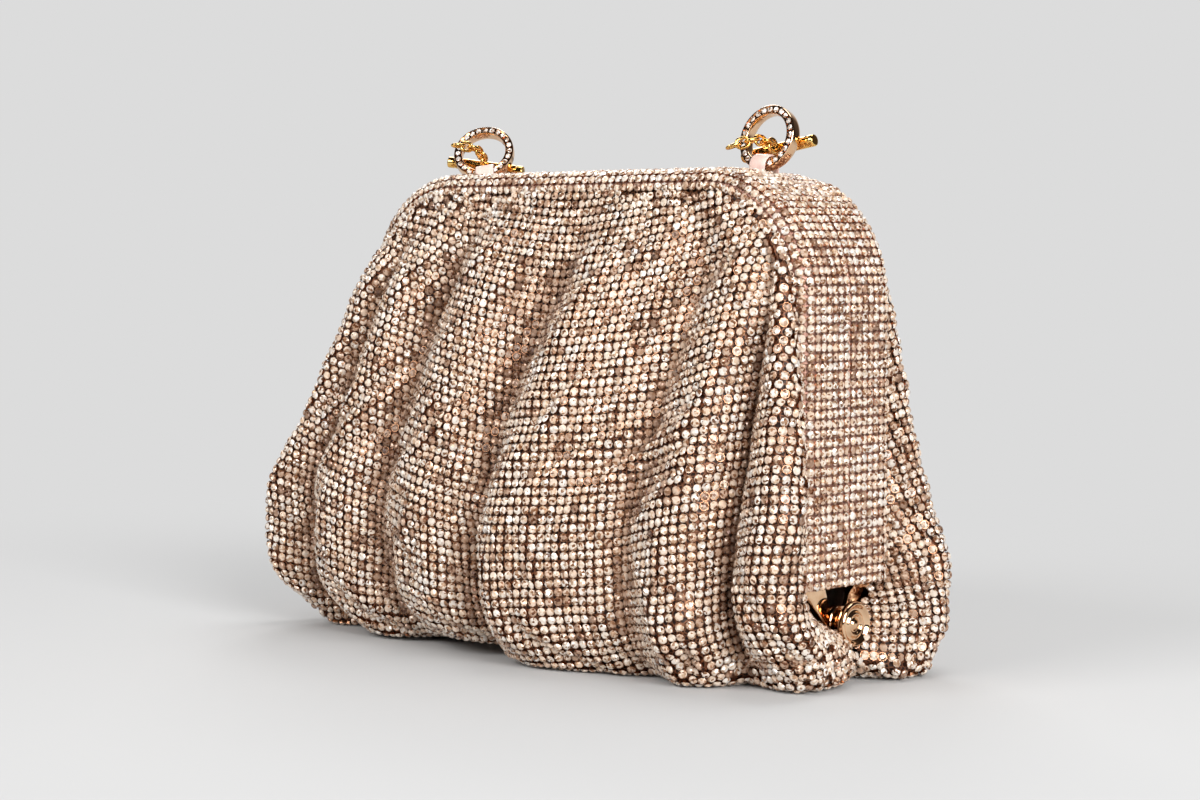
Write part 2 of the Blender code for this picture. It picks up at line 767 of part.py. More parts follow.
def ring_frame(place_share, turn, lean):
    """Directions and centres for one ring: across, facing, ahead, up, wire and ring centres, normal."""
    foot, normal = arch_place(place_share * ARCH_HALF_WIDTH)
    yaw = math.radians(turn)
    facing = Vector((math.sin(yaw), -math.cos(yaw), 0.0))
    facing = (facing - normal * facing.dot(normal)).normalized()
    across = normal.cross(facing)
    tilt = math.radians(lean)
    up = normal * math.cos(tilt) - facing * math.sin(tilt)
    ahead = facing * math.cos(tilt) + normal * math.sin(tilt)
    wire = foot + Vector((0.0, RING_FROM_PARTING, 0.0)) + normal * (GAP + RING_SEAT)
    return across, facing, ahead, up, wire, wire + up * RING_MEAN_RADIUS, normal


def turned_frame(frame, turn):
    """The same ring's frame, turned in the ring's own plane, for its bar and chain."""
    across, facing, ahead, up, wire, centre, normal = frame
    angle = math.radians(turn)
    new_across = across * math.cos(angle) + up * math.sin(angle)
    new_up = up * math.cos(angle) - across * math.sin(angle)
    return new_across, facing, ahead, new_up, wire, centre, normal


def build_ring(end_name, frame, gold):
    """A thick ring, round at the back, with a groove for its crystals in the flat front face."""
    across, _, ahead, up, _, centre, _ = frame
    wall = 0.5 * RING_WALL
    axial = 0.5 * RING_AXIAL
    profile = []
    for step in range(RING_BACK_STEPS + 1):
        angle = math.pi * (step / RING_BACK_STEPS - 0.5)
        profile.append((wall * math.sin(angle), -axial * math.cos(angle)))
    profile += [
        (wall, axial - RIM_BEVEL),
        (RIM_HALF_WIDTH, axial),
        (PAVE_HALF_WIDTH, axial),
        (PAVE_HALF_WIDTH, axial - PAVE_DEPTH),
        (-PAVE_HALF_WIDTH, axial - PAVE_DEPTH),
        (-PAVE_HALF_WIDTH, axial),
        (-RIM_HALF_WIDTH, axial),
        (-wall, axial - RIM_BEVEL),
    ]
    centres = []
    planes = []
    for step in range(RING_STEPS):
        angle = math.tau * step / RING_STEPS
        arm = across * math.cos(angle) + up * math.sin(angle)
        centres.append(centre + arm * RING_MEAN_RADIUS)
        planes.append((arm, ahead))
    name = f"toggle_ring_{end_name}"
    return add_object(name, tube(name, centres, planes, profile), gold)


def build_tab(end_name, frame, satin):
    """The satin loop that goes over the ring's lowest stretch and down to the cover."""
    across, facing, _, _, wire, _, normal = frame
    outline = []
    for radius, order in ((TAB_OUTER, 1), (TAB_INNER, -1)):
        arc = [(radius, -RING_SEAT)]
        for step in range(TAB_STEPS + 1):
            angle = math.pi * step / TAB_STEPS
            arc.append((radius * math.cos(angle), radius * math.sin(angle)))
        arc.append((-radius, -RING_SEAT))
        outline += arc[::order]
    loops = []
    for end in (-0.5, 0.5):
        shift = across * (end * TAB_WIDTH)
        loops.append([wire + shift + facing * a + normal * b for a, b in outline])
    name = f"satin_tab_{end_name}"
    return add_object(name, loft(name, loops), satin)


def build_bar(end_name, frame, gold):
    """The toggle bar behind the ring, with an eye that looks forward through it."""
    across, _, ahead, up, _, _, _ = frame
    axis_point, eye = bar_places(frame)
    half = 0.5 * BAR_LENGTH
    groove = BAR_RADIUS - BAR_GROOVE
    right = [
        (half, BAR_RADIUS - BAR_EDGE),
        (half - BAR_EDGE, BAR_RADIUS),
        (half - BAR_COLLAR, BAR_RADIUS),
        (half - BAR_COLLAR - BAR_GROOVE, groove),
        (half - BAR_COLLAR - BAR_EDGE - BAR_GROOVE, groove),
        (half - BAR_COLLAR - BAR_EDGE - 2.0 * BAR_GROOVE, BAR_RADIUS),
    ]
    outline = [(-along, radius) for along, radius in right] + right[::-1]
    name = f"toggle_bar_{end_name}"
    bar = add_object(name, turned(name, outline, axis_point, across, BAR_STEPS), gold)
    profile = round_profile(EYE_WIRE)
    centres = []
    planes = []
    for step in range(EYE_STEPS):
        angle = math.tau * step / EYE_STEPS
        arm = ahead * math.cos(angle) + up * math.sin(angle)
        centres.append(eye + arm * EYE_RADIUS)
        planes.append((arm, across))
    join_shapes(bar, helper(tube("eye", centres, planes, profile)), "UNION")
    return bar


def bar_places(frame):
    """Middle of the bar's axis and the centre of its eye."""
    _, _, ahead, up, _, centre, _ = frame
    behind = 0.5 * RING_AXIAL + GAP + BAR_RADIUS
    middle = centre - up * BAR_BELOW_CENTRE - ahead * behind
    return middle, middle + ahead * (BAR_RADIUS + EYE_RADIUS - EYE_WIRE)


def round_profile(radius):
    """A round wire's section."""
    profile = []
    for step in range(WIRE_STEPS):
        angle = math.tau * step / WIRE_STEPS
        profile.append((radius * math.cos(angle), radius * math.sin(angle)))
    return profile


def chain_links(frame):
    """Centre, direction and plane normal of each link, from the bar's eye onwards."""
    across, _, ahead, up, _, _, _ = frame
    _, eye = bar_places(frame)
    goal = -across * CHAIN_SIDE_SHARE + ahead * CHAIN_FORWARD_SHARE - up * CHAIN_DROP_SHARE
    goal.normalize()
    reach = 0.5 * LINK_LENGTH - LINK_WIRE
    tip = eye + ahead * EYE_RADIUS
    overlap = EYE_WIRE + LINK_WIRE + LINK_CLEARANCE
    direction = ahead
    normal = up
    links = []
    for number in range(LINKS):
        share = min(number / CHAIN_TURN_LINKS, 1.0)
        new_direction = (ahead * (1.0 - share) + goal * share).normalized()
        bend = (direction + new_direction).normalized()
        centre = tip - bend * overlap + new_direction * reach
        if number:
            normal = new_direction.cross(normal)
        normal = (normal - new_direction * normal.dot(new_direction)).normalized()
        direction = new_direction
        tip = centre + direction * reach
        overlap = 2.0 * LINK_WIRE + LINK_CLEARANCE
        links.append((centre, direction, normal))
    return links


def build_chain(end_name, frame, gold):
    """The short run of oval links, each its own piece."""
    bend = 0.5 * LINK_WIDTH - LINK_WIRE
    straight = 0.5 * LINK_LENGTH - LINK_WIRE - bend
    profile = round_profile(LINK_WIRE)
    for number, (centre, direction, normal) in enumerate(chain_links(frame), start=1):
        side = normal.cross(direction)
        centres = []
        planes = []
        for end in (1.0, -1.0):
            for step in range(LINK_ARC_STEPS + 1):
                angle = math.pi * (step / LINK_ARC_STEPS - 0.5)
                arm = (direction * math.cos(angle) + side * math.sin(angle)) * end
                centres.append(centre + direction * (end * straight) + arm * bend)
                planes.append((arm, normal))
        name = f"chain_link_{end_name}_{number}"
        add_object(name, tube(name, centres, planes, profile), gold)


def frame_middle():
    """Place along X of the frame's middle. It puts the bag, with its fuller left cheek, over the origin."""
    reach = []
    for half, _ in HALVES:
        for height in panel_heights():
            reach += [x for x, _ in panel_slice(half, height)]
    return -0.5 * (min(reach) + max(reach))


def main():
    """Build every piece of the bag."""
    clear_scene()
    gold = material("polished_rose_gold", (0.86, 0.62, 0.45), 0.15, 1.0)
    bright = material("polished_yellow_gold", (0.92, 0.68, 0.33), 0.12, 1.0)
    crystal = material("champagne_crystal_mesh", (0.72, 0.56, 0.46), 0.30, 0.6)
    satin = material("pale_pink_satin", (0.90, 0.74, 0.70), 0.45, 0.0)
    steel = material("plain_steel", (0.60, 0.60, 0.60), 0.40, 1.0)
    for half, side in HALVES:
        build_frame_half(half, side, gold)
        build_cover(half, side, crystal)
        build_strip(half, side, steel)
        build_magnets(half, side, steel)
        build_panel(half, side, crystal)
    build_lining(satin)
    for end_name, end_side in SIDES:
        build_hinge(end_name, end_side, gold)
    for end_name, place_share, turn, lean, bar_turn in RING_PLACE_SHARES:
        frame = ring_frame(place_share, turn, lean)
        build_ring(end_name, frame, gold)
        build_tab(end_name, frame, satin)
        bar_frame = turned_frame(frame, bar_turn)
        build_bar(end_name, bar_frame, bright)
        build_chain(end_name, bar_frame, bright)
    to_middle = Matrix.Translation((frame_middle(), 0.0, 0.0))
    for mesh in bpy.data.meshes:
        mesh.transform(to_middle)


main()
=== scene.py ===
"""Looks of an evening handbag: a crystal-mesh pouch on a hinged box frame, with toggle rings on top.

Lengths are worked out in millimetres and turned to metres where a mesh is made. X runs along the
bag, Y through it (the front faces -Y) and Z up.
"""

from __future__ import annotations

import json
import logging
import math
from dataclasses import dataclass
from enum import Enum
from typing import Any, Sequence

import bmesh
import bpy
import numpy as np
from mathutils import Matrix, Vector
from mathutils.kdtree import KDTree

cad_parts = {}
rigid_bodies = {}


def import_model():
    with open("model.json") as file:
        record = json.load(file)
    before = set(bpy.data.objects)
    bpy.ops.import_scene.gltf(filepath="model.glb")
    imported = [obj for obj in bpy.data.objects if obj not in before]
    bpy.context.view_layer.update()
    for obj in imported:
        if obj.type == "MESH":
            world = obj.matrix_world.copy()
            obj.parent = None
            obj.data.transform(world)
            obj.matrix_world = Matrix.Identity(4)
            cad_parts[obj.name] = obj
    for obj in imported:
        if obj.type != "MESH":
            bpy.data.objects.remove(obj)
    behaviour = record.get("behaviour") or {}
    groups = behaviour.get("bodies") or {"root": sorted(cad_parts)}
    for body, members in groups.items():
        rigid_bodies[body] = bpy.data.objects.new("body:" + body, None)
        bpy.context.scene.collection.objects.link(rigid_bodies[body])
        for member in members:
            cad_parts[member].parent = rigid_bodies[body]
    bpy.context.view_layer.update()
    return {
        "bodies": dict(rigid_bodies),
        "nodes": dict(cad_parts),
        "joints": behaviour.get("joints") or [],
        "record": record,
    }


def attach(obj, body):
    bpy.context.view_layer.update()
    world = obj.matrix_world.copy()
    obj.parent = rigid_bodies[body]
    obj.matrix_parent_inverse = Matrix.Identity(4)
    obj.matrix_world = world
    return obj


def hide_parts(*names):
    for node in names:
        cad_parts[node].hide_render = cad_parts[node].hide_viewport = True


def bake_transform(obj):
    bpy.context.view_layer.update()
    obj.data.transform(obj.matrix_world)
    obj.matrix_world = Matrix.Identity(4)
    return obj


LOG = logging.getLogger("handbag")
MM = 0.001
PITCH = 3.0
SEED = 4127
# The frame's middle lies this far to the right of the origin, because the left cheek is fuller.
FRAME_MIDDLE = 10.608
Table = Sequence[tuple[float, float]]


class Half(Enum):
    """The two halves of the frame, with the side of Y that each is on."""

    FRONT = ("front", -1.0)
    BACK = ("back", 1.0)

    @property
    def label(self) -> str:
        """Word that the node names start with."""
        return self.value[0]

    @property
    def side(self) -> float:
        """Sign of Y."""
        return self.value[1]


class End(Enum):
    """The two ends of the bag, with the side of X that each is on."""

    RIGHT = ("right", 1.0)
    LEFT = ("left", -1.0)

    @property
    def label(self) -> str:
        """Word that the node names end with."""
        return self.value[0]

    @property
    def side(self) -> float:
        """Sign of X."""
        return self.value[1]


@dataclass(kw_only=True)
class Arch:
    """Sizes that the parts of the frame share: its outer line is an upside-down U with round shoulders."""

    half_width: float = 100.0
    height: float = 160.5
    shoulder: float = 41.0
    hinge: float = 16.0
    cover_foot: float = 28.0
    cover_depth: float = 22.0

    @property
    def spring(self) -> float:
        """Height at which a leg turns into its shoulder."""
        return self.height - self.shoulder

    @property
    def flat(self) -> float:
        """Half the length of the level stretch on top."""
        return self.half_width - self.shoulder


# Small helpers


def linear(shade: str) -> tuple[float, float, float, float]:
    """Turn an sRGB hex colour to linear.

    Args:
        shade: Colour such as "#C8A080".

    Returns:
        Red, green, blue and an alpha of one.
    """
    parts = [int(shade[i : i + 2], 16) / 255.0 for i in (1, 3, 5)]
    turned = [c / 12.92 if c <= 0.04045 else ((c + 0.055) / 1.055) ** 2.4 for c in parts]
    return (turned[0], turned[1], turned[2], 1.0)


def curve_at(table: Table, at: Any) -> np.ndarray:
    """Read a smooth curve that never overshoots its own points.

    Args:
        table: Pairs of place and value, places rising.
        at: Places to read.

    Returns:
        The values there.
    """
    x, y = np.array(table, float).T
    at = np.clip(np.asarray(at, float), x[0], x[-1])
    step = np.diff(x)
    slope = np.diff(y) / step
    knot = np.zeros_like(y)
    inner = slope[:-1] * slope[1:] > 0
    both = np.where(inner, slope[:-1] + slope[1:], 1.0)
    knot[1:-1] = np.where(inner, 2.0 * slope[:-1] * slope[1:] / both, 0.0)
    knot[0], knot[-1] = slope[0], slope[-1]
    k = np.clip(np.searchsorted(x, at, side="right") - 1, 0, len(step) - 1)
    t = (at - x[k]) / step[k]
    rise = (3.0 * t**2 - 2.0 * t**3) * (y[k + 1] - y[k]) + y[k]
    lean_in = (t**3 - 2.0 * t**2 + t) * step[k] * knot[k]
    return rise + lean_in + (t**3 - t**2) * step[k] * knot[k + 1]


def unit(vectors: np.ndarray) -> np.ndarray:
    """Vectors of length one along the last axis."""
    return vectors / np.maximum(np.linalg.norm(vectors, axis=-1, keepdims=True), 1e-9)


def set_inputs(tree: Any, node: Any, inputs: dict[Any, Any]) -> None:
    """Set or link the inputs of a node.

    Args:
        tree: The node tree.
        node: The node.
        inputs: Socket name or index to a value, or to an output socket that is linked to it.
    """
    for name, value in inputs.items():
        if isinstance(value, bpy.types.NodeSocket):
            tree.links.new(value, node.inputs[name])
        else:
            node.inputs[name].default_value = value


def add_node(tree: Any, kind: str, settings: dict[str, Any] | None = None,
             inputs: dict[Any, Any] | None = None, stops: Sequence[tuple[float, str]] = ()) -> Any:
    """Add one node to a tree, set it and link it.

    Args:
        tree: The node tree.
        kind: The node's type.
        settings: Properties of the node.
        inputs: Socket name or index to a value, or to an output socket that is linked to it.
        stops: Place and hex colour of each stop of a colour ramp.

    Returns:
        The node.
    """
    node = tree.nodes.new(kind)
    for name, value in (settings or {}).items():
        setattr(node, name, value)
    set_inputs(tree, node, inputs or {})
    if stops:
        held = node.color_ramp.elements
        while len(held) < len(stops):
            held.new(1.0)
        for element, (place, shade) in zip(held, stops):
            element.position = place
            element.color = linear(shade)
    return node


def mesh_object(name: str, points: Any, faces: Sequence[Sequence[int]], finish: Any,
                smooth: bool = True, outwards: bool = True) -> Any:
    """Make an object from points in millimetres.

    Args:
        name: Name of the piece.
        points: Points in millimetres.
        faces: Faces as point numbers.
        finish: Its material.
        smooth: Whether it shades smooth.
        outwards: Whether its normals are recalculated to point out.

    Returns:
        The object, in the scene.
    """
    mesh = bpy.data.meshes.new(name)
    placed = (np.asarray(points, float) + (FRAME_MIDDLE, 0.0, 0.0)) * MM
    mesh.from_pydata(placed.tolist(), [], [list(f) for f in faces])
    if outwards:
        work = bmesh.new()
        work.from_mesh(mesh)
        bmesh.ops.recalc_face_normals(work, faces=work.faces)
        work.to_mesh(mesh)
        work.free()
    mesh.polygons.foreach_set("use_smooth", [smooth] * len(mesh.polygons))
    mesh.materials.append(finish)
    obj = bpy.data.objects.new(name, mesh)
    bpy.context.scene.collection.objects.link(obj)
    return obj


def loops_to_faces(loops: int, around: int, closed_path: bool, caps: bool) -> list[list[int]]:
    """Faces that join a row of equal closed loops.

    Args:
        loops: Number of loops.
        around: Points in each loop.
        closed_path: Whether the last loop joins the first.
        caps: Whether the two ends are filled.

    Returns:
        The faces.
    """
    faces = []
    for i in range(loops if closed_path else loops - 1):
        a, b = i * around, ((i + 1) % loops) * around
        faces += [[a + j, a + (j + 1) % around, b + (j + 1) % around, b + j] for j in range(around)]
    if caps and not closed_path:
        faces += [list(range(around))[::-1], [(loops - 1) * around + j for j in range(around)]]
    return faces


def sweep(name: str, centres: Any, first: Any, second: Any, profile: Any, finish: Any,
          closed_path: bool = False) -> Any:
    """Carry a closed section along a path.

    Args:
        name: Name of the piece.
        centres: Points of the path.
        first: Direction of the section's first axis at each point.
        second: Direction of its second axis.
        profile: The section's points, or one section for each point of the path.
        finish: Its material.
        closed_path: Whether the path is a ring.

    Returns:
        The object.
    """
    centres, first, second = (np.asarray(a, float) for a in (centres, first, second))
    profile = np.asarray(profile, float)
    if profile.ndim == 2:
        profile = np.repeat(profile[None], len(centres), 0)
    points = centres[:, None] + profile[..., :1] * first[:, None] + profile[..., 1:] * second[:, None]
    faces = loops_to_faces(len(centres), profile.shape[1], closed_path, True)
    return mesh_object(name, points.reshape(-1, 3), faces, finish)


def turned(name: str, outline: Table, start: Any, axis: Any, finish: Any, steps: int = 72,
           sharp: float = 40.0) -> Any:
    """Turn an outline about an axis, as on a lathe.

    Args:
        name: Name of the piece.
        outline: Pairs of place along the axis and radius.
        start: Where the axis starts.
        axis: Its direction.
        finish: Its material.
        steps: Steps round.
        sharp: Edges that turn more than this many degrees stay sharp.

    Returns:
        The object, closed at both ends.
    """
    axis = Vector(axis).normalized()
    side = axis.orthogonal().normalized()
    other = axis.cross(side)
    points = []
    for along, radius in outline:
        for k in range(steps):
            angle = math.tau * k / steps
            arm = side * math.cos(angle) + other * math.sin(angle)
            points.append(tuple(Vector(start) + axis * along + arm * radius))
    obj = mesh_object(name, points, loops_to_faces(len(outline), steps, False, True), finish)
    obj.data.set_sharp_from_angle(angle=math.radians(sharp))
    return obj


def rounded(outline: Table, rounds: int = 2) -> np.ndarray:
    """Cut the corners of an open outline, so that it turns softly. Its two ends stay.

    Args:
        outline: Its points.
        rounds: How often the corners are cut.

    Returns:
        The softer outline.
    """
    points = np.asarray(outline, float)
    for _ in range(rounds):
        near, far = points[:-1], points[1:]
        cut = np.empty((2 * len(near), 2))
        cut[0::2] = 0.75 * near + 0.25 * far
        cut[1::2] = 0.25 * near + 0.75 * far
        points = np.concatenate([points[:1], cut, points[-1:]])
    return points


def circle(radius: float, steps: int) -> np.ndarray:
    """A round section."""
    angle = math.tau * np.arange(steps) / steps
    return radius * np.stack([np.cos(angle), np.sin(angle)], -1)


def hoop(name: str, centre: Any, first: Any, second: Any, radius: float, profile: Any, finish: Any,
         steps: int = 96) -> Any:
    """Carry a section round a circle. Its first axis points away from the centre.

    Args:
        name: Name of the piece.
        centre: Centre of the circle.
        first: One direction in the circle's plane.
        second: The other, square to the first.
        radius: Radius of the circle.
        profile: The section's points.
        finish: Its material.
        steps: Steps round.

    Returns:
        The object.
    """
    angle = math.tau * np.arange(steps)[:, None] / steps
    arms = np.asarray(first, float) * np.cos(angle) + np.asarray(second, float) * np.sin(angle)
    axis = np.broadcast_to(np.cross(first, second), arms.shape)
    obj = sweep(name, np.asarray(centre, float) + arms * radius, arms, axis, profile, finish, True)
    obj.data.set_sharp_from_angle(angle=math.radians(40.0))
    return obj


def join_pieces(name: str, pieces: Sequence[Any]) -> Any:
    """Put the meshes of some objects into the first one, and rename it.

    Args:
        name: Name of the result.
        pieces: The objects.

    Returns:
        The first object, with all the meshes.
    """
    work = bmesh.new()
    for piece in pieces:
        work.from_mesh(piece.data)
    first = pieces[0]
    work.to_mesh(first.data)
    work.free()
    for piece in pieces[1:]:
        bpy.data.objects.remove(piece)
    first.name = first.data.name = name
    return first


def settle(piece: Any, body: str, slot: str, *nodes: str) -> None:
    """Say what a rigid piece rides on, and hide the solids that it stands for.

    Args:
        piece: The object.
        body: Name of the body.
        slot: Not used.
        nodes: Names of the solids that it replaces.
    """
    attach(piece, body)
    if nodes:
        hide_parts(*nodes)


# Finishes


def new_material(name: str) -> tuple[Any, Any, Any, Any]:
    """Start a material.

    Args:
        name: Its name.

    Returns:
        The material, its tree, its shader, and the socket that holds the place on the object.
    """
    made = bpy.data.materials.new(name)
    made.use_nodes = True
    tree = made.node_tree
    place = add_node(tree, "ShaderNodeTexCoord").outputs["Object"]
    return made, tree, tree.nodes["Principled BSDF"], place


@dataclass(frozen=True)
class Plate:
    """Polished metal plate over cast zinc alloy: a mirror with a faint haze and fine hand marks."""

    name: str
    shade: str
    worn: str
    roughness: float = 0.12

    def make(self) -> Any:
        """Build the material.

        Returns:
            The material.
        """
        made, tree, shader, place = new_material(self.name)
        # Handling marks are about 4 mm across, and the polishing haze is about 0.6 mm.
        marks = add_node(tree, "ShaderNodeTexNoise", inputs={
            "Vector": place, "Scale": 250.0, "Detail": 3.0}).outputs["Fac"]
        haze = add_node(tree, "ShaderNodeTexNoise", inputs={
            "Vector": place, "Scale": 1600.0, "Detail": 2.0}).outputs["Fac"]
        shade = add_node(tree, "ShaderNodeValToRGB", inputs={"Fac": marks},
                         stops=[(0.3, self.worn), (0.6, self.shade)])
        rough = add_node(tree, "ShaderNodeMapRange", inputs={
            "Value": marks, "From Min": 0.3, "From Max": 0.7,
            "To Min": self.roughness * 0.7, "To Max": self.roughness * 1.5})
        bump = add_node(tree, "ShaderNodeBump", inputs={
            "Height": haze, "Strength": 0.015, "Distance": 0.00003})
        set_inputs(tree, shader, {
            "Base Color": shade.outputs["Color"], "Metallic": 1.0, "Roughness": rough.outputs["Result"],
            "Normal": bump.outputs["Normal"]})
        return made


@dataclass(frozen=True)
class CrystalFinish:
    """Foil-backed cut glass: its facets throw back the lights or the dark, side by side in each stone.

    The colour follows each stone's own tone, and each facet leans its own way. Each facet's colour is also
    painted darker or lighter at random, from brown to near white: painted shade and painted glints.
    """

    name: str
    stops: tuple[tuple[float, str], ...]
    facet: float = 0.85
    tilt: float = 0.75

    def make(self) -> Any:
        """Build the material.

        Returns:
            The material.
        """
        made, tree, shader, place = new_material(self.name)
        tone = add_node(tree, "ShaderNodeAttribute", {"attribute_name": "tone"})
        body = add_node(tree, "ShaderNodeValToRGB", inputs={"Fac": tone.outputs["Fac"]}, stops=self.stops)
        # The facets that show are a little under one millimetre across.
        cells = add_node(tree, "ShaderNodeTexVoronoi", inputs={
            "Vector": place, "Scale": 1000.0 / self.facet}).outputs["Color"]
        parts = add_node(tree, "ShaderNodeSeparateColor", inputs={"Color": cells})
        # Each facet cell is painted from brown to near white and multiplied into the stone's colour: painted
        # shade and painted glints on the facets.
        depth = add_node(tree, "ShaderNodeValToRGB", inputs={"Fac": parts.outputs["Red"]}, stops=[
            (0.0, "#7A5238"), (0.16, "#A98263"), (0.32, "#E2CFBA"), (0.52, "#FBF8F4")])
        shade = add_node(tree, "ShaderNodeMix", {"data_type": "RGBA", "blend_type": "MULTIPLY"}, {
            0: 1.0, 6: body.outputs["Color"], 7: depth.outputs["Color"]})
        away = add_node(tree, "ShaderNodeVectorMath", {"operation": "SUBTRACT"}, {
            0: cells, 1: (0.5, 0.5, 0.5)})
        lean = add_node(tree, "ShaderNodeVectorMath", {"operation": "SCALE"}, {
            0: away.outputs["Vector"], "Scale": self.tilt})
        face = add_node(tree, "ShaderNodeNewGeometry").outputs["Normal"]
        leaned = add_node(tree, "ShaderNodeVectorMath", {"operation": "ADD"}, {
            0: lean.outputs["Vector"], 1: face})
        even = add_node(tree, "ShaderNodeVectorMath", {"operation": "NORMALIZE"}, {
            0: leaned.outputs["Vector"]})
        set_inputs(tree, shader, {
            "Base Color": shade.outputs[2], "Normal": even.outputs["Vector"], "Metallic": 0.25,
            "Roughness": 0.16, "Coat Weight": 0.4, "Coat Roughness": 0.04})
        return made


@dataclass(frozen=True)
class NetFinish:
    """Brass-wire net under the stones: the cells between its wires take the deeper colour, painted shade of
    the stones over it, with glints on its wires.
    """

    name: str
    deep: str
    wire: str

    def make(self) -> Any:
        """Build the material.

        Returns:
            The material.
        """
        made, tree, shader, place = new_material(self.name)
        # The wires are 0.4 mm thick and lie about 1.5 mm apart.
        edge = add_node(tree, "ShaderNodeTexVoronoi", {"feature": "DISTANCE_TO_EDGE"}, {
            "Vector": place, "Scale": 650.0}).outputs["Distance"]
        # Wire colour on the wires, and the deeper colour in the cells between them: painted shade under the
        # stones.
        shade = add_node(tree, "ShaderNodeValToRGB", inputs={"Fac": edge},
                         stops=[(0.04, self.wire), (0.16, self.deep)])
        bump = add_node(tree, "ShaderNodeBump", {"invert": True}, {
            "Height": edge, "Strength": 0.5, "Distance": 0.0004})
        set_inputs(tree, shader, {
            "Base Color": shade.outputs["Color"], "Metallic": 0.5, "Roughness": 0.42,
            "Normal": bump.outputs["Normal"]})
        return made


@dataclass(frozen=True)
class SatinFinish:
    """Woven satin: a soft sheen along the floats of its threads, which run one way."""

    name: str
    light: str
    dark: str

    def make(self) -> Any:
        """Build the material.

        Returns:
            The material.
        """
        made, tree, shader, place = new_material(self.name)
        # Threads of 0.2 mm are drawn twice as coarse, so that they show.
        spread = add_node(tree, "ShaderNodeMapping", inputs={
            "Vector": place, "Scale": (2500.0, 2500.0, 300.0)})
        thread = add_node(tree, "ShaderNodeTexNoise", inputs={
            "Vector": spread.outputs["Vector"], "Scale": 1.0, "Detail": 2.0}).outputs["Fac"]
        # Broad clouds of about 17 mm, as on cloth that has been handled.
        broad = add_node(tree, "ShaderNodeTexNoise", inputs={"Vector": place, "Scale": 60.0}).outputs["Fac"]
        mixed = add_node(tree, "ShaderNodeMath", {"operation": "MULTIPLY_ADD"}, {0: thread, 1: 0.6, 2: broad})
        shade = add_node(tree, "ShaderNodeValToRGB", inputs={"Fac": mixed.outputs["Value"]},
                         stops=[(0.55, self.dark), (1.0, self.light)])
        bump = add_node(tree, "ShaderNodeBump", inputs={
            "Height": thread, "Strength": 0.25, "Distance": 0.0002})
        set_inputs(tree, shader, {
            "Base Color": shade.outputs["Color"], "Roughness": 0.38, "Sheen Weight": 0.4,
            "Normal": bump.outputs["Normal"]})
        return made


@dataclass(frozen=True)
class SteelFinish:
    """Cold-rolled spring steel, left bare: soft grey clouds of about 3 mm. It is on parts out of sight."""

    name: str
    light: str
    dark: str

    def make(self) -> Any:
        """Build the material.

        Returns:
            The material.
        """
        made, tree, shader, place = new_material(self.name)
        cloud = add_node(tree, "ShaderNodeTexNoise", inputs={"Vector": place, "Scale": 300.0, "Detail": 4.0})
        shade = add_node(tree, "ShaderNodeValToRGB", inputs={"Fac": cloud.outputs["Fac"]},
                         stops=[(0.3, self.dark), (0.7, self.light)])
        set_inputs(tree, shader, {"Base Color": shade.outputs["Color"], "Metallic": 1.0, "Roughness": 0.35})
        return made


@dataclass(frozen=True)
class StudioPaper:
    """Seamless studio paper: it takes the bag's soft shadow, and far off it is one even tone."""

    name: str
    shade: str
    lit: str = "#C4C4C4"
    near: float = 0.20
    far: float = 0.55

    def make(self) -> Any:
        """Build the material.

        Returns:
            The material.
        """
        made, tree, shader, place = new_material(self.name)
        set_inputs(tree, shader, {
            "Base Color": linear(self.lit), "Roughness": 1.0, "Specular IOR Level": 0.0})
        reach = add_node(tree, "ShaderNodeVectorMath", {"operation": "LENGTH"}, {0: place})
        share = add_node(tree, "ShaderNodeMapRange", {"interpolation_type": "SMOOTHSTEP"}, {
            "Value": reach.outputs["Value"], "From Min": self.near, "From Max": self.far})
        path = add_node(tree, "ShaderNodeLightPath")
        seen = add_node(tree, "ShaderNodeMath", {"operation": "MULTIPLY"}, {
            0: share.outputs["Result"], 1: path.outputs["Is Camera Ray"]})
        even = add_node(tree, "ShaderNodeEmission", inputs={"Color": linear(self.shade), "Strength": 1.0})
        mixed = add_node(tree, "ShaderNodeMixShader", inputs={
            0: seen.outputs["Value"], 1: shader.outputs["BSDF"], 2: even.outputs["Emission"]})
        tree.links.new(mixed.outputs["Shader"], tree.nodes["Material Output"].inputs["Surface"])
        return made


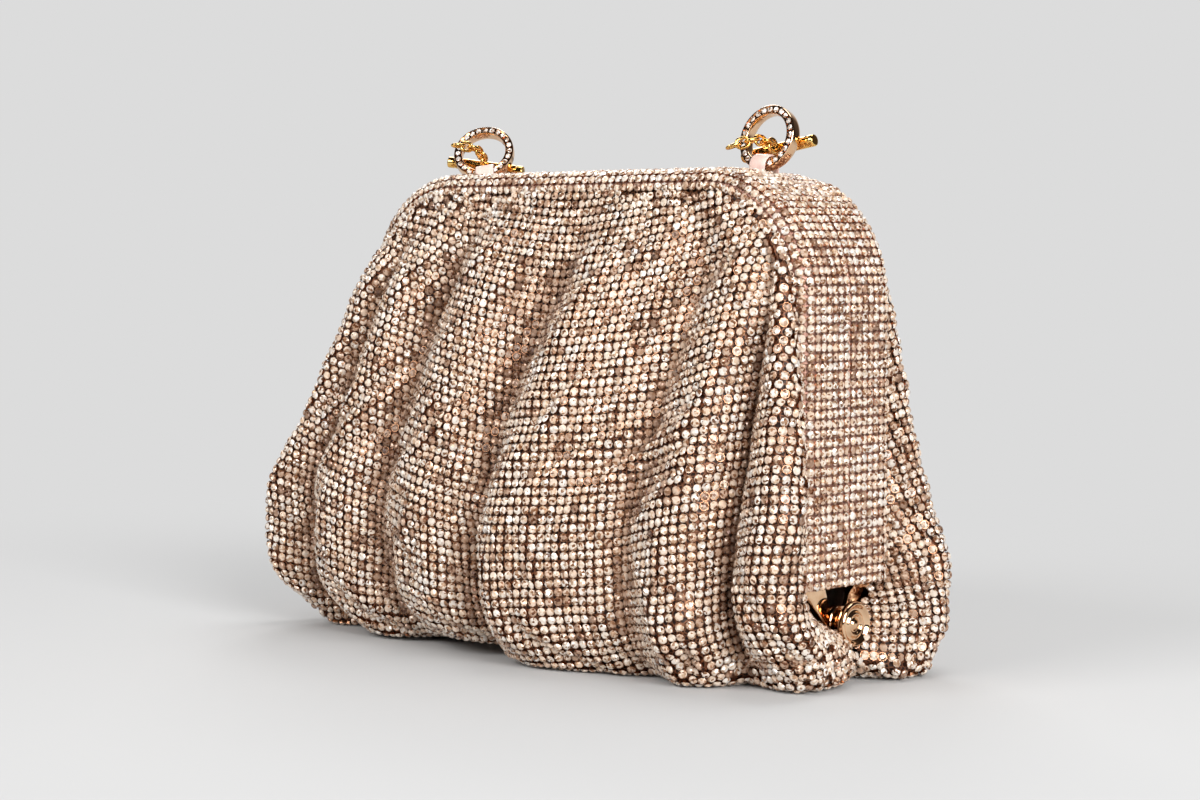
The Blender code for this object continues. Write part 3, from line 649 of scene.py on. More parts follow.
class Finishes:
    """Every material of the bag, made once."""

    def __init__(self) -> None:
        """Build them."""
        # Cut glass on a warm foil: stones from brown through cream to near white, by a tone that differs at
        # random from stone to stone and is lowered in creases as painted shade.
        self.crystal = CrystalFinish("foil_backed_champagne_crystal", (
            (0.0, "#7E6150"), (0.14, "#BFA08A"), (0.3, "#E9D4C2"), (0.5, "#F1E4D6"), (0.72, "#E8E2DD"),
            (0.86, "#F0D6BE"), (0.96, "#FBF5EE"))).make()
        # Cut glass on a silver foil: colder and brighter small stones round the rings.
        self.clear = CrystalFinish("foil_backed_clear_crystal", (
            (0.0, "#D8D4D0"), (0.5, "#FFFFFF")), 0.7, 0.9).make()
        # Stamped brass cups, barrel-plated: a warm rim that is duller than the frame.
        self.cup = Plate("rose_gold_stone_cups", "#E0AC86", "#B47F5E", 0.22).make()
        # Woven brass wire: a dark ground of painted shade between the stones of the pouch, and a paler one on
        # the covers.
        self.net = NetFinish("brass_wire_net_painted_shade", "#2A1810", "#7C4F36").make()
        self.cover_net = NetFinish("rose_brass_wire_net", "#86604F", "#BC9080").make()
        # Cast zinc alloy, buffed and plated: a clear pink-gold mirror, the same plate painted browner on the
        # barrel as painted shade in its recess, and yellow toggles.
        self.rose = Plate("polished_rose_gold_plate", "#F0CBA6", "#E2B48C", 0.08).make()
        self.barrel = Plate("rose_gold_plate_painted_shade", "#C98A58", "#A5683C", 0.14).make()
        self.yellow = Plate("polished_yellow_gold_plate", "#F2C878", "#DFA850", 0.09).make()
        # Woven satin: a blush lining, and a paler ribbon at the foot of each ring.
        self.lining = SatinFinish("blush_satin_lining", "#E2C3B5", "#C29E90").make()
        self.tab = SatinFinish("pale_pink_satin_ribbon", "#F6DAD0", "#E2BDB1").make()
        self.steel = SteelFinish("bare_spring_steel", "#A8A8A8", "#7E7E7E").make()
        self.floor = StudioPaper("pale_studio_paper", "#DCDCDC").make()


# Crystals


@dataclass
class CrystalSetter:
    """Sets one crystal in its cup at each point of a mesh, with a tree of geometry nodes.

    A cup widens from its foot to its rim. The stone in it narrows from girdle to waist to table, in two
    tiers as tall as the crown. These are radii and heights in millimetres.
    """

    cup_foot: float = 1.05
    cup_rim: float = 1.50
    cup_height: float = 0.85
    girdle: float = 1.45
    waist: float = 1.18
    table: float = 0.66
    crown: float = 0.36
    sides: int = 8
    tilt: float = 5.0
    tilt_spread: float = 0.6
    tone_spread: tuple[float, float] = (2.0, 2.2)
    # How much a stone's tone is lowered per millimetre that it lies in a crease, and raised on a ridge:
    # painted shade in creases, a little painted light on ridges.
    crease_shade: float = 0.6
    crease_range: tuple[float, float] = (-0.3, 1.2)
    limit: int = 2300

    def tree(self, crystal: Any, cup: Any) -> Any:
        """Build the node tree: a crystal cut in two tiers and a flared cup on every point.

        Args:
            crystal: Material of the stones.
            cup: Material of the cups.

        Returns:
            The tree.
        """
        tree = bpy.data.node_groups.new("set_crystals", "GeometryNodeTree")
        face = tree.interface
        face.new_socket("Points", in_out="INPUT", socket_type="NodeSocketGeometry")
        for name in self.sizes():
            face.new_socket(name, in_out="INPUT", socket_type="NodeSocketFloat")
        face.new_socket("Stones", in_out="OUTPUT", socket_type="NodeSocketGeometry")
        given = add_node(tree, "NodeGroupInput").outputs
        turn = add_node(tree, "GeometryNodeInputNamedAttribute", {"data_type": "FLOAT_VECTOR"}, {
            "Name": "turn"})
        joined = add_node(tree, "GeometryNodeJoinGeometry")
        half_side = math.pi / self.sides
        shapes = (
            (cup, given["Cup rim"], given["Cup foot"], given["Cup height"], None, 0.0),
            (crystal, given["Waist"], given["Girdle"], given["Tier"], given["Cup height"], 0.0),
            (crystal, given["Table"], given["Waist"], given["Tier"], given["Upper tier"], half_side),
        )
        for finish, top, bottom, height, lift, twist in shapes:
            shape = add_node(tree, "GeometryNodeMeshCone", {"fill_type": "NGON"}, {
                "Vertices": self.sides, "Side Segments": 1, "Fill Segments": 1,
                "Radius Top": top, "Radius Bottom": bottom, "Depth": height}).outputs["Mesh"]
            if lift is not None:
                place = add_node(tree, "ShaderNodeCombineXYZ", inputs={"Z": lift}).outputs["Vector"]
                shape = add_node(tree, "GeometryNodeTransform", inputs={
                    "Geometry": shape, "Translation": place,
                    "Rotation": (0.0, 0.0, twist)}).outputs["Geometry"]
            flat = add_node(tree, "GeometryNodeSetShadeSmooth", inputs={
                "Geometry": shape, "Shade Smooth": False})
            placed = add_node(tree, "GeometryNodeInstanceOnPoints", inputs={
                "Points": given["Points"], "Instance": flat.outputs["Geometry"],
                "Rotation": turn.outputs["Attribute"]})
            real = add_node(tree, "GeometryNodeRealizeInstances", inputs={
                "Geometry": placed.outputs["Instances"]})
            made = add_node(tree, "GeometryNodeSetMaterial", inputs={
                "Geometry": real.outputs["Geometry"], "Material": finish})
            tree.links.new(made.outputs["Geometry"], joined.inputs["Geometry"])
        add_node(tree, "NodeGroupOutput", inputs={"Stones": joined.outputs["Geometry"]})
        return tree

    def sizes(self) -> dict[str, float]:
        """Sizes of a cup and its crystal, in millimetres.

        Returns:
            The tree's inputs by name, and their values.
        """
        return {"Cup foot": self.cup_foot, "Cup rim": self.cup_rim, "Cup height": self.cup_height,
                "Girdle": self.girdle, "Waist": self.waist, "Table": self.table, "Tier": self.crown,
                "Upper tier": self.cup_height + self.crown}

    def set_stones(self, name: str, tree: Any, points: np.ndarray, normals: np.ndarray,
                   along: np.ndarray, generator: np.random.Generator, hollows: Any = 0.0) -> list[Any]:
        """Set a crystal on each point.

        Args:
            name: Name of the piece, to which a number is added where it is split.
            tree: The node tree from tree().
            points: Places in millimetres.
            normals: Which way each stone faces.
            along: Direction of its row.
            generator: Source of the small differences between stones.
            hollows: How deep each stone lies in a crease, in millimetres, and negative on a ridge.

        Returns:
            The pieces, each small enough for one mesh.
        """
        count = len(points)
        lean = np.radians(self.tilt) * generator.normal(0.0, self.tilt_spread, (count, 2))
        x = unit(along - normals * np.sum(along * normals, -1, keepdims=True))
        y = np.cross(normals, x)
        z = unit(normals + x * lean[:, :1] + y * lean[:, 1:])
        x = unit(x - z * np.sum(x * z, -1, keepdims=True))
        y = np.cross(z, x)
        turn = np.stack([np.arctan2(y[:, 2], z[:, 2]), -np.arcsin(np.clip(x[:, 2], -1, 1)),
                         np.arctan2(x[:, 1], x[:, 0])], -1)
        # Stones deep in a crease are painted darker and stones on a ridge a little lighter: painted shade and
        # painted light on top of the random tone.
        shade = self.crease_shade * np.clip(hollows, *self.crease_range)
        tone = np.clip(generator.beta(*self.tone_spread, count) * (1.0 - shade), 0.0, 1.0)
        pieces = []
        parts = max(1, math.ceil(count / self.limit))
        order = np.argsort(points[:, 0], kind="stable") if parts > 1 else np.arange(count)
        for number, chosen in enumerate(np.array_split(order, parts), start=1):
            label = name if parts == 1 else f"{name}_{number}"
            pieces.append(self._piece(label, tree, points[chosen], turn[chosen], tone[chosen]))
        return pieces

    def _piece(self, name: str, tree: Any, points: np.ndarray, turn: np.ndarray, tone: np.ndarray) -> Any:
        """Run the tree on some of the points.

        Args:
            name: Name of the piece.
            tree: The node tree.
            points: Places in millimetres.
            turn: Rotation of each stone.
            tone: Colour place of each stone.

        Returns:
            The finished object.
        """
        mesh = bpy.data.meshes.new(name)
        mesh.from_pydata(((points + (FRAME_MIDDLE, 0.0, 0.0)) * MM).tolist(), [], [])
        for key, kind, field, values in (("turn", "FLOAT_VECTOR", "vector", turn),
                                         ("tone", "FLOAT", "value", tone)):
            mesh.attributes.new(key, kind, "POINT").data.foreach_set(field, np.ravel(values))
        obj = bpy.data.objects.new(name, mesh)
        bpy.context.scene.collection.objects.link(obj)
        modifier = obj.modifiers.new("set_crystals", "NODES")
        modifier.node_group = tree
        sizes = self.sizes()
        for socket in tree.interface.items_tree:
            if socket.in_out == "INPUT" and socket.name in sizes:
                modifier[socket.identifier] = sizes[socket.name] * MM
        bpy.context.view_layer.update()
        graph = bpy.context.evaluated_depsgraph_get()
        final = bpy.data.meshes.new_from_object(obj.evaluated_get(graph))
        obj.modifiers.clear()
        final.name = name
        if "turn" in final.attributes:
            final.attributes.remove(final.attributes["turn"])
        obj.data = final
        bpy.data.meshes.remove(mesh)
        return obj


# Cloth forms


# Rounds of evening that leave the main folds out of a form, to tell creases from ridges.
HOLLOW_ROUNDS = 60
# Steps between points of a form are taken as no shorter than this, in millimetres.
LEAST_STEP = 0.1
# How a panel's edge opens beside the hinge: share of the free height, share of the way to the leg.
NOTCH_SHARES = ((0.0, 0.0), (0.25, 0.35), (0.5, 0.59), (0.75, 0.81), (1.0, 1.0))
FRONT_NOTCH_SHARES = ((0.0, 0.0), (0.22, 0.05), (0.3, 0.12), (0.4, 0.36), (0.58, 0.67), (0.76, 0.93),
                      (1.0, 1.0))
BACK_NOTCH_SHARES = ((0.0, 0.0), (0.22, 0.05), (0.3, 0.11), (0.43, 0.33), (0.58, 0.46), (0.72, 0.6),
                     (0.87, 0.8), (1.0, 1.0))


class Form:
    """A surface held as an even grid of points, which can be read between them and a little beyond."""

    def __init__(self, points: np.ndarray, side: float) -> None:
        """Keep the grid.

        Args:
            points: Rows by columns by three, in millimetres.
            side: One where rows cross columns to give the outward normal, else minus one.
        """
        self.points = points
        self.side = side
        self.rows, self.columns = points.shape[:2]

    def at(self, row: np.ndarray, column: np.ndarray) -> tuple[np.ndarray, np.ndarray, np.ndarray]:
        """Read the surface.

        Args:
            row: Places along the rows, as numbers with fractions.
            column: Places along the columns.

        Returns:
            Points, and how they change with row and with column.
        """
        i = np.clip(row.astype(int), 0, self.rows - 2)
        j = np.clip(column.astype(int), 0, self.columns - 2)
        s, t = (row - i)[..., None], (column - j)[..., None]
        p = self.points
        a, b, c, d = p[i, j], p[i, j + 1], p[i + 1, j], p[i + 1, j + 1]
        top, low = a + (b - a) * t, c + (d - c) * t
        return top + (low - top) * s, low - top, (b - a) * (1 - s) + (d - c) * s

    def hollows(self) -> np.ndarray:
        """How deep each point of the grid lies under the evened surface, in millimetres."""
        even = smoothed(self.points, HOLLOW_ROUNDS)
        return np.sum((even - self.points) * self.normals(), -1)

    def normals(self) -> np.ndarray:
        """Which way the form faces.

        Returns:
            Outward normal at each point of the grid.
        """
        down = np.gradient(self.points, axis=0)
        over = np.gradient(self.points, axis=1)
        return unit(np.cross(over, down)) * self.side


def run_along(points: np.ndarray, axis: int) -> np.ndarray:
    """Length run from the first row or column of a grid of points.

    Args:
        points: Rows by columns by three.
        axis: Zero to run down the columns, one to run along the rows.

    Returns:
        Lengths, rows by columns.
    """
    steps = np.linalg.norm(np.diff(points, axis=axis), axis=-1)
    return np.insert(np.cumsum(steps, axis=axis), 0, 0.0, axis=axis)


def smoothed(values: np.ndarray, rounds: int) -> np.ndarray:
    """Even out a grid of points along both ways, with its rim held.

    Args:
        values: Rows by columns by any.
        rounds: How often.

    Returns:
        The evened grid.
    """
    values = values.copy()
    for _ in range(rounds):
        values[1:-1] += 0.5 * (0.5 * (values[:-2] + values[2:]) - values[1:-1])
        values[:, 1:-1] += 0.5 * (0.5 * (values[:, :-2] + values[:, 2:]) - values[:, 1:-1])
    return values


@dataclass(frozen=True)
class Wrinkle:
    """A short fold on top of the main ones: its line, how far it stands out (or sinks in), and its width."""

    line: tuple[tuple[float, float], ...]
    depth: tuple[tuple[float, float], ...]
    left: float
    right: float
    run_out: float = 8.0
    run_in: float = 10.0

    def push(self, height: np.ndarray, across: np.ndarray, arc: np.ndarray) -> np.ndarray:
        """How far this fold moves the cloth outwards.

        Args:
            height: Height of each row.
            across: Place of each column from -1 to 1.
            arc: Length along each row, rows by columns.

        Returns:
            Millimetres, rows by columns.
        """
        rising = self.line[::-1]
        centre = curve_at(rising, height)
        middle = np.array([np.interp(c, across, a) for c, a in zip(centre, arc)])
        off = arc - middle[:, None]
        width = np.where(off < 0, self.left, self.right)
        low, high = rising[0][0], rising[-1][0]
        ends = (np.clip((height - low + self.run_out) / self.run_in, 0, 1)
                * np.clip((high + self.run_out - height) / self.run_in, 0, 1))
        deep = curve_at(self.depth[::-1], height) * ends
        return deep[:, None] * np.exp(-((off / width) ** 2))


@dataclass(frozen=True)
class MainFolds:
    """The folds that the solids have too: ridges and creases in turn, each along its own line.

    Each row holds a fold's place across near the top, half way and at the foot, from -1 to 1, and
    then how far it stands out at those heights, as a share of the depth.
    """

    rows: tuple[tuple[float, float, float, float, float, float], ...]
    depth: float = 7.2
    top: float = 140.0
    soft_share: float = 0.3
    sharp_share: float = 0.7

    def push(self, height: np.ndarray, across: np.ndarray) -> np.ndarray:
        """How far the folds move the cloth outwards: round over the ridges and sharper in the creases.

        Args:
            height: Height of each row.
            across: Place of each column from -1 to 1.

        Returns:
            Millimetres, rows by columns.
        """
        t = np.clip(height / self.top, 0, 1)[:, None]
        weights = np.stack([t * (2 * t - 1), 4 * t * (1 - t), (1 - t) * (1 - 2 * t)], -1)
        table = np.array(self.rows)
        place = (weights * table[None, :, :3]).sum(-1)
        deep = self.depth * (weights * table[None, :, 3:]).sum(-1)
        made = np.zeros((len(height), len(across)))
        for i in range(len(height)):
            line = np.concatenate([[-1.0], place[i], [1.0]])
            value = np.concatenate([[0.0], deep[i], [0.0]])
            k = np.clip(np.searchsorted(line, across, side="right") - 1, 0, len(line) - 2)
            part = np.clip((across - line[k]) / (line[k + 1] - line[k]), 0, 1)
            falls = value[k] > value[k + 1]
            high, low = np.maximum(value[k], value[k + 1]), np.minimum(value[k], value[k + 1])
            part = np.where(falls, part, 1 - part)
            ease = (self.soft_share * part**2 * (3 - 2 * part)
                    + self.sharp_share * (1 - np.cos(0.5 * math.pi * part)))
            made[i] = high + (low - high) * ease
        return made


@dataclass
class PanelCloth(Arch):
    """Shape of one cloth of the pouch: full cheeks at its ends, and folds gathered under the frame.

    Places across the cloth run from -1 at its left edge to 1 at its right edge. Its top row is held at an
    inset under the arch, its belly stands out in front of the frame, and its cheeks past the frame's ends.
    Below the free height its edges leave the frame for the notch beside the hinge, and rows under the
    floor line close it to the seam between the two panels.
    """

    half: Half
    right: Table
    folds: MainFolds
    wrinkles: tuple[Wrinkle, ...]
    lift: Table
    lift_height: float = 34.0
    inset: float = 5.6
    top: float = 154.9
    belly: float = 32.5
    cheek: float = 49.0
    free: float = 27.7
    floor: float = -1.2
    edge: float = 22.0
    room: float = 0.0
    notch_width: float = 104.0
    notch_depth: float = 1.2
    notch_shares: Table = NOTCH_SHARES
    seam_depth: float = 0.4
    power: float = 2.4
    place: float = 0.72
    fade: float = 30.0
    rows_above: int = 150
    rows_below: int = 26
    columns: int = 281
    even_rounds: int = 3
    slack: float = 0.7
    slack_waves: int = 18

    def form(self) -> Form:
        """Build the folded surface.

        Returns:
            Its grid.
        """
        heights = self.top + (self.floor - self.top) * np.linspace(0, 1, self.rows_above)
        across = np.linspace(-1, 1, self.columns)
        base = np.array([self._slice(h, across) for h in heights])
        push = self.folds.push(heights, across) * np.clip((self.top - heights) / self.fade, 0, 1)[:, None]
        arc = run_along(base, 1)
        for wrinkle in self.wrinkles:
            push = push + wrinkle.push(heights, across, arc)
        push = push + self._slack_waves(heights, across, arc)
        over = np.gradient(base, axis=1)
        outward = unit(np.stack([over[..., 1], -over[..., 0], np.zeros_like(over[..., 0])], -1))
        moved = base + outward * push[..., None]
        seam = np.stack([self.notch_width * across, np.full_like(across, -self.seam_depth),
                         np.full_like(across, self.floor)], -1)
        under = [moved[-1] * (1 - k) + seam * k for k in np.linspace(0, 1, self.rows_below + 1)[1:]]
        moved = smoothed(np.concatenate([moved, under]), self.even_rounds)
        heights = np.concatenate([heights, np.full(self.rows_below, self.floor)])
        low = np.clip(1 - heights / self.lift_height, 0, 1)[:, None]
        moved[..., 2] += curve_at(self.lift, across)[None] * low**2
        moved[..., 1] *= -self.half.side
        return Form(moved, -1.0 if self.half is Half.FRONT else 1.0)

    def _slack_waves(self, heights: np.ndarray, across: np.ndarray, arc: np.ndarray) -> np.ndarray:
        """Small slack waves, 10 to 25 mm across, that hang mostly downwards.

        Args:
            heights: Height of each row.
            across: Place of each column from -1 to 1.
            arc: Length along each row.

        Returns:
            Millimetres, rows by columns.
        """
        shares = np.clip((self.top - heights) / self.fade, 0, 1)[:, None] * (1 - np.abs(across) ** 10)[None]
        generator = np.random.default_rng(SEED + (self.half is Half.BACK))
        push = np.zeros_like(arc)
        for _ in range(self.slack_waves):
            wave, tall = generator.uniform(10, 25), generator.uniform(60, 160)
            phase, lean = generator.uniform(0, math.tau), generator.uniform(-0.5, 0.5)
            size = self.slack * generator.uniform(0.2, 0.6)
            sideways = np.sin((arc + lean * heights[:, None]) * math.tau / wave + phase)
            push += shares * size * sideways * np.cos(heights[:, None] * math.tau / tall + phase)
        return push

    def _slice(self, height: float, across: np.ndarray) -> np.ndarray:
        """One level row of the pouch, as if on the front.

        Args:
            height: Its height.
            across: Places from -1 to 1.

        Returns:
            Its points.
        """
        reach = (self.shoulder - self.inset) ** 2 - max(height - self.spring, 0.0) ** 2
        wide = min(self.flat + math.sqrt(max(reach, 0.0)), self.half_width - self.inset)
        edge = self.edge
        if height < self.free:
            share = max(height, 0.0) / self.free
            wide = self.notch_width + (wide - self.notch_width) * share
            edge = self.notch_depth + (edge - self.notch_depth) * float(curve_at(self.notch_shares, share))
        share = height / self.height
        deep = self.cover_depth - self.room + self.belly * float(curve_at(BELLY_SHARES, share))
        angle = 0.5 * math.pi * np.abs(across)
        left, right = curve_at(LEFT_CHEEK_SHARES, share), curve_at(self.right, share)
        bulge = self.cheek * np.where(across < 0, left, right)
        shape = np.sin(math.pi * np.abs(across) ** (math.log(0.5) / math.log(self.place)))
        x = wide * np.sin(angle) ** (2 / self.power) + bulge * shape
        y = edge + (deep - edge) * np.clip(np.cos(angle), 0, None) ** (2 / self.power)
        return np.stack([np.sign(across) * x, -y, np.full_like(across, height)], -1)


@dataclass
class Net:
    """A net of even meshes laid over a form, as real mesh cloth lies: its sides keep their length.

    Knots keep clear of the stones beside the form, none is crowded, and bare patches get knots too.
    """

    form: Form
    beside: np.ndarray
    half_columns: int = 74
    row_count: int = 84
    tuck: float = 1.3
    top_tuck: float = 0.3
    start: float = 0.6
    clear: float = 2.35
    crowded: float = 2.25
    bare: float = 2.35
    guesses: int = 4
    side_pull: float = 0.25
    cross_pull: float = 0.02
    margin: int = 3
    rounds: int = 220

    def lay(self) -> tuple[np.ndarray, np.ndarray, np.ndarray, np.ndarray]:
        """Lay the net.

        Returns:
            Points, outward normals, row directions and hollows of the knots that lie on the form.
        """
        row, column = self._start()
        for _ in range(self.rounds):
            row, column = self._ease(row, column)
        points, by_row, by_column = self.form.at(row, column)
        over = unit(np.gradient(points, axis=1))
        normals = self.form.normals()
        i = np.clip(np.rint(row).astype(int), 0, self.form.rows - 1)
        j = np.clip(np.rint(column).astype(int), 0, self.form.columns - 1)
        past_row, past_column = (self.tuck / np.maximum(np.linalg.norm(by, axis=-1), LEAST_STEP)
                                 for by in (by_row, by_column))
        inside = ((row > -self.top_tuck * past_row) & (row < self.form.rows - 1)
                  & (column > -past_column) & (column < self.form.columns - 1 + past_column))
        sleeve = kd_tree(self.beside)
        inside[inside] = [sleeve.find(point)[2] > self.clear for point in points[inside]]
        hollows = self.form.hollows()
        knots = [values[inside] for values in (points, normals[i, j], over, hollows[i, j])]
        kept = self._spaced(knots[0])
        return self._fill([values[kept] for values in knots], normals, hollows)

    def _spaced(self, points: np.ndarray) -> np.ndarray:
        """Thin out the knots where the net bunches up, so that none lies too near to an earlier one.

        Args:
            points: Places of the knots.

        Returns:
            Which of them stay.
        """
        tree = kd_tree(points)
        kept = np.ones(len(points), bool)
        for number, point in enumerate(points):
            if kept[number]:
                for _, other, _ in tree.find_range(point, self.crowded):
                    if other > number:
                        kept[other] = False
        return kept

    def _fill(self, knots: list[np.ndarray], normals: np.ndarray,
              hollows: np.ndarray) -> tuple[np.ndarray, np.ndarray, np.ndarray, np.ndarray]:
        """Add knots where the net left a bare patch of the form, each close to the ones before it.

        Args:
            knots: Points, normals, row directions and hollows of the knots so far.
            normals: Normals of the form's grid.
            hollows: Its hollows.

        Returns:
            The four with the added knots.
        """
        tree = kd_tree(np.concatenate([knots[0], self.beside]))
        places = self.form.points.reshape(-1, 3)
        gaps = np.array([tree.find(place)[2] for place in places])
        bare = np.flatnonzero(gaps > self.bare)
        places, gaps = places[bare], gaps[bare]
        along = unit(np.gradient(self.form.points, axis=1)).reshape(-1, 3)[bare]
        grid = (places, normals.reshape(-1, 3)[bare], along, hollows.ravel()[bare])
        chosen = []
        while len(gaps) and (gaps > self.bare).any():
            best = int(np.argmin(np.where(gaps > self.bare, gaps, np.inf)))
            chosen.append(best)
            gaps = np.minimum(gaps, np.linalg.norm(places - places[best], axis=-1))
        LOG.info("net: %d knots laid, %d added in bare patches", len(knots[0]), len(chosen))
        return tuple(np.concatenate([held, new[chosen]]) for held, new in zip(knots, grid))

    def _start(self) -> tuple[np.ndarray, np.ndarray]:
        """First guess: even steps along the rows from the middle, and down the columns from the top.

        Returns:
            Row and column of each knot on the form's grid.
        """
        middle = self.form.columns // 2
        arc, fall = run_along(self.form.points, 1), run_along(self.form.points, 0)
        arc -= arc[:, middle : middle + 1]
        wanted_across = (np.arange(2 * self.half_columns + 1) - self.half_columns) * PITCH
        wanted_down = (np.arange(self.row_count) + self.start) * PITCH
        row = np.repeat(np.interp(wanted_down, fall[:, middle], np.arange(self.form.rows))[:, None],
                        len(wanted_across), 1)
        column = np.zeros_like(row)
        for _ in range(self.guesses):
            for i in range(self.row_count):
                near = np.clip(np.rint(row[i]).astype(int), 0, self.form.rows - 1)
                for j, wanted in enumerate(wanted_across):
                    column[i, j] = read_out(wanted, arc[near[j]])
            for j in range(len(wanted_across)):
                near = np.clip(np.rint(column[:, j]).astype(int), 0, self.form.columns - 1)
                for i, wanted in enumerate(wanted_down):
                    row[i, j] = read_out(wanted, fall[:, near[i]])
        return row, column

    def _ease(self, row: np.ndarray, column: np.ndarray) -> tuple[np.ndarray, np.ndarray]:
        """One round: each knot moves a little so that its four sides come nearer to the pitch.

        Args:
            row: Places of the knots along the rows.
            column: Places along the columns.

        Returns:
            The new places.
        """
        points, by_row, by_column = self.form.at(row, column)
        margin, side, cross = self.margin, self.side_pull, self.cross_pull
        live = ((row > -margin) & (row < self.form.rows - 1 + margin)
                & (column > -margin) & (column < self.form.columns - 1 + margin))
        move = np.zeros_like(points)
        for di, dj, stiff in ((1, 0, side), (0, 1, side), (1, 1, cross), (1, -1, cross)):
            length = PITCH * (abs(di) + abs(dj)) ** 0.5
            a = (slice(0, points.shape[0] - di), slice(max(0, -dj), points.shape[1] - max(0, dj)))
            b = (slice(di, None), slice(max(0, dj), points.shape[1] + min(0, dj)))
            gap = points[b] - points[a]
            far = np.maximum(np.linalg.norm(gap, axis=-1, keepdims=True), 1e-6)
            pull = stiff * (1 - length / far) * gap * (live[a] & live[b])[..., None]
            move[a] += pull
            move[b] -= pull
        return self._step(row, column, move, by_row, by_column, live)

    def _step(self, row: np.ndarray, column: np.ndarray, move: np.ndarray, by_row: np.ndarray,
              by_column: np.ndarray, live: np.ndarray) -> tuple[np.ndarray, np.ndarray]:
        """Turn a move in space into a move along the form.

        Args:
            row: Places along the rows.
            column: Places along the columns.
            move: Wanted move of each knot.
            by_row: Change of the point with row.
            by_column: Change of the point with column.
            live: Which knots count.

        Returns:
            The new places.
        """
        a, b, c = (by_row**2).sum(-1), (by_row * by_column).sum(-1), (by_column**2).sum(-1)
        e, f = (by_row * move).sum(-1), (by_column * move).sum(-1)
        size = np.maximum(a * c - b * b, 1e-4)
        down, over = (e * c - f * b) / size, (f * a - e * b) / size
        down[0] = 0.0
        return row + np.clip(down, -1, 1) * live, column + np.clip(over, -1, 1) * live


def kd_tree(points: np.ndarray) -> KDTree:
    """Sort points into a tree that finds the nearest of them.

    Args:
        points: The points.

    Returns:
        The tree, which knows them by number.
    """
    tree = KDTree(len(points))
    for number, point in enumerate(points):
        tree.insert(point, number)
    tree.balance()
    return tree


def read_out(wanted: float, line: np.ndarray) -> float:
    """Place on a rising line where a length is reached, run on straight past its ends.

    Args:
        wanted: The length.
        line: Lengths at places 0, 1, 2 and so on.

    Returns:
        The place.
    """
    if wanted <= line[0]:
        return float((wanted - line[0]) / max(line[1] - line[0], 0.05))
    if wanted >= line[-1]:
        return float(len(line) - 1 + (wanted - line[-1]) / max(line[-1] - line[-2], 0.05))
    return float(np.interp(wanted, line, np.arange(len(line))))


def cloth_object(name: str, form: Form, sink: float, thickness: float, finish: Any,
                 skip: int) -> tuple[Any, float]:
    """Make a thin closed cloth from a form.

    Args:
        name: Name of the piece.
        form: Its surface.
        sink: How far below the form its face lies.
        thickness: Its thickness.
        finish: Its material.
        skip: Every how many grid points are kept.

    Returns:
        The object and the area of one face in square metres.
    """
    rows = np.unique(np.append(np.arange(0, form.rows, skip), form.rows - 1))
    columns = np.unique(np.append(np.arange(0, form.columns, skip), form.columns - 1))
    outer = (form.points - form.normals() * sink)[np.ix_(rows, columns)]
    inner = (form.points - form.normals() * (sink + thickness))[np.ix_(rows, columns)]
    n, m = outer.shape[:2]
    number = np.arange(n * m).reshape(n, m)
    quads = np.stack([number[:-1, :-1], number[:-1, 1:], number[1:, 1:], number[1:, :-1]], -1).reshape(-1, 4)
    faces = quads.tolist() + (quads[:, ::-1] + n * m).tolist()
    rim = np.concatenate([number[0], number[1:, -1], number[-1, :-1][::-1], number[1:-1, 0][::-1]])
    following = np.roll(rim, -1)
    faces += np.stack([rim, rim + n * m, following + n * m, following], -1).tolist()
    points = np.concatenate([outer.reshape(-1, 3), inner.reshape(-1, 3)])
    down, over = outer[1:, :-1] - outer[:-1, :-1], outer[:-1, 1:] - outer[:-1, :-1]
    area = np.linalg.norm(np.cross(down, over), axis=-1).sum() * MM * MM
    return mesh_object(name, points, faces, finish), float(area)


# Share of the height, then share of the belly's or the cheeks' reach, as in the solids.
BELLY_SHARES = ((0.0, 0.65), (0.05, 0.85), (0.125, 0.97), (0.26, 1.0), (0.436, 0.82), (0.623, 0.56),
                (0.81, 0.24), (0.935, 0.045), (0.974, 0.0))
LEFT_CHEEK_SHARES = ((0.0, 0.50), (0.031, 0.67), (0.1, 0.90), (0.21, 1.0), (0.325, 0.94), (0.486, 0.63),
                     (0.698, 0.35), (0.81, 0.18), (0.9, 0.06), (0.974, 0.0))
FRONT_CHEEK_SHARES = ((0.0, 0.20), (0.031, 0.27), (0.1, 0.37), (0.21, 0.43), (0.325, 0.43), (0.486, 0.35),
                      (0.698, 0.18), (0.81, 0.10), (0.9, 0.04), (0.974, 0.0))
BACK_CHEEK_SHARES = ((0.0, 0.32), (0.031, 0.37), (0.1, 0.45), (0.21, 0.43), (0.325, 0.29), (0.486, 0.19),
                     (0.698, 0.12), (0.81, 0.08), (0.9, 0.04), (0.974, 0.0))

FRONT_FOLDS = MainFolds((
    (-0.76, -0.77, -0.75, 0.0, -0.5, -0.6),
    (-0.66, -0.67, -0.65, 0.2, 0.5, 0.6),
    (-0.57, -0.56, -0.55, -0.3, -0.8, -0.9),
    (-0.46, -0.46, -0.41, 0.3, 0.5, 0.6),
    (-0.28, -0.35, -0.28, -0.8, -1.0, -0.7),
    (-0.16, -0.21, -0.17, 0.6, 0.6, 0.5),
    (0.04, -0.05, -0.06, -0.3, -0.9, -0.7),
    (0.12, 0.025, 0.01, 0.3, 0.9, 1.0),
    (0.27, 0.17, 0.15, 0.1, 0.2, 0.2),
    (0.44, 0.29, 0.26, -0.4, -0.8, -0.7),
    (0.60, 0.43, 0.40, 0.3, 0.6, 0.7),
    (0.74, 0.53, 0.50, -0.2, -1.1, -1.0),
    (0.80, 0.66, 0.66, 0.1, 0.6, 0.7),
    (0.87, 0.80, 0.80, 0.0, -0.4, -0.4),
))
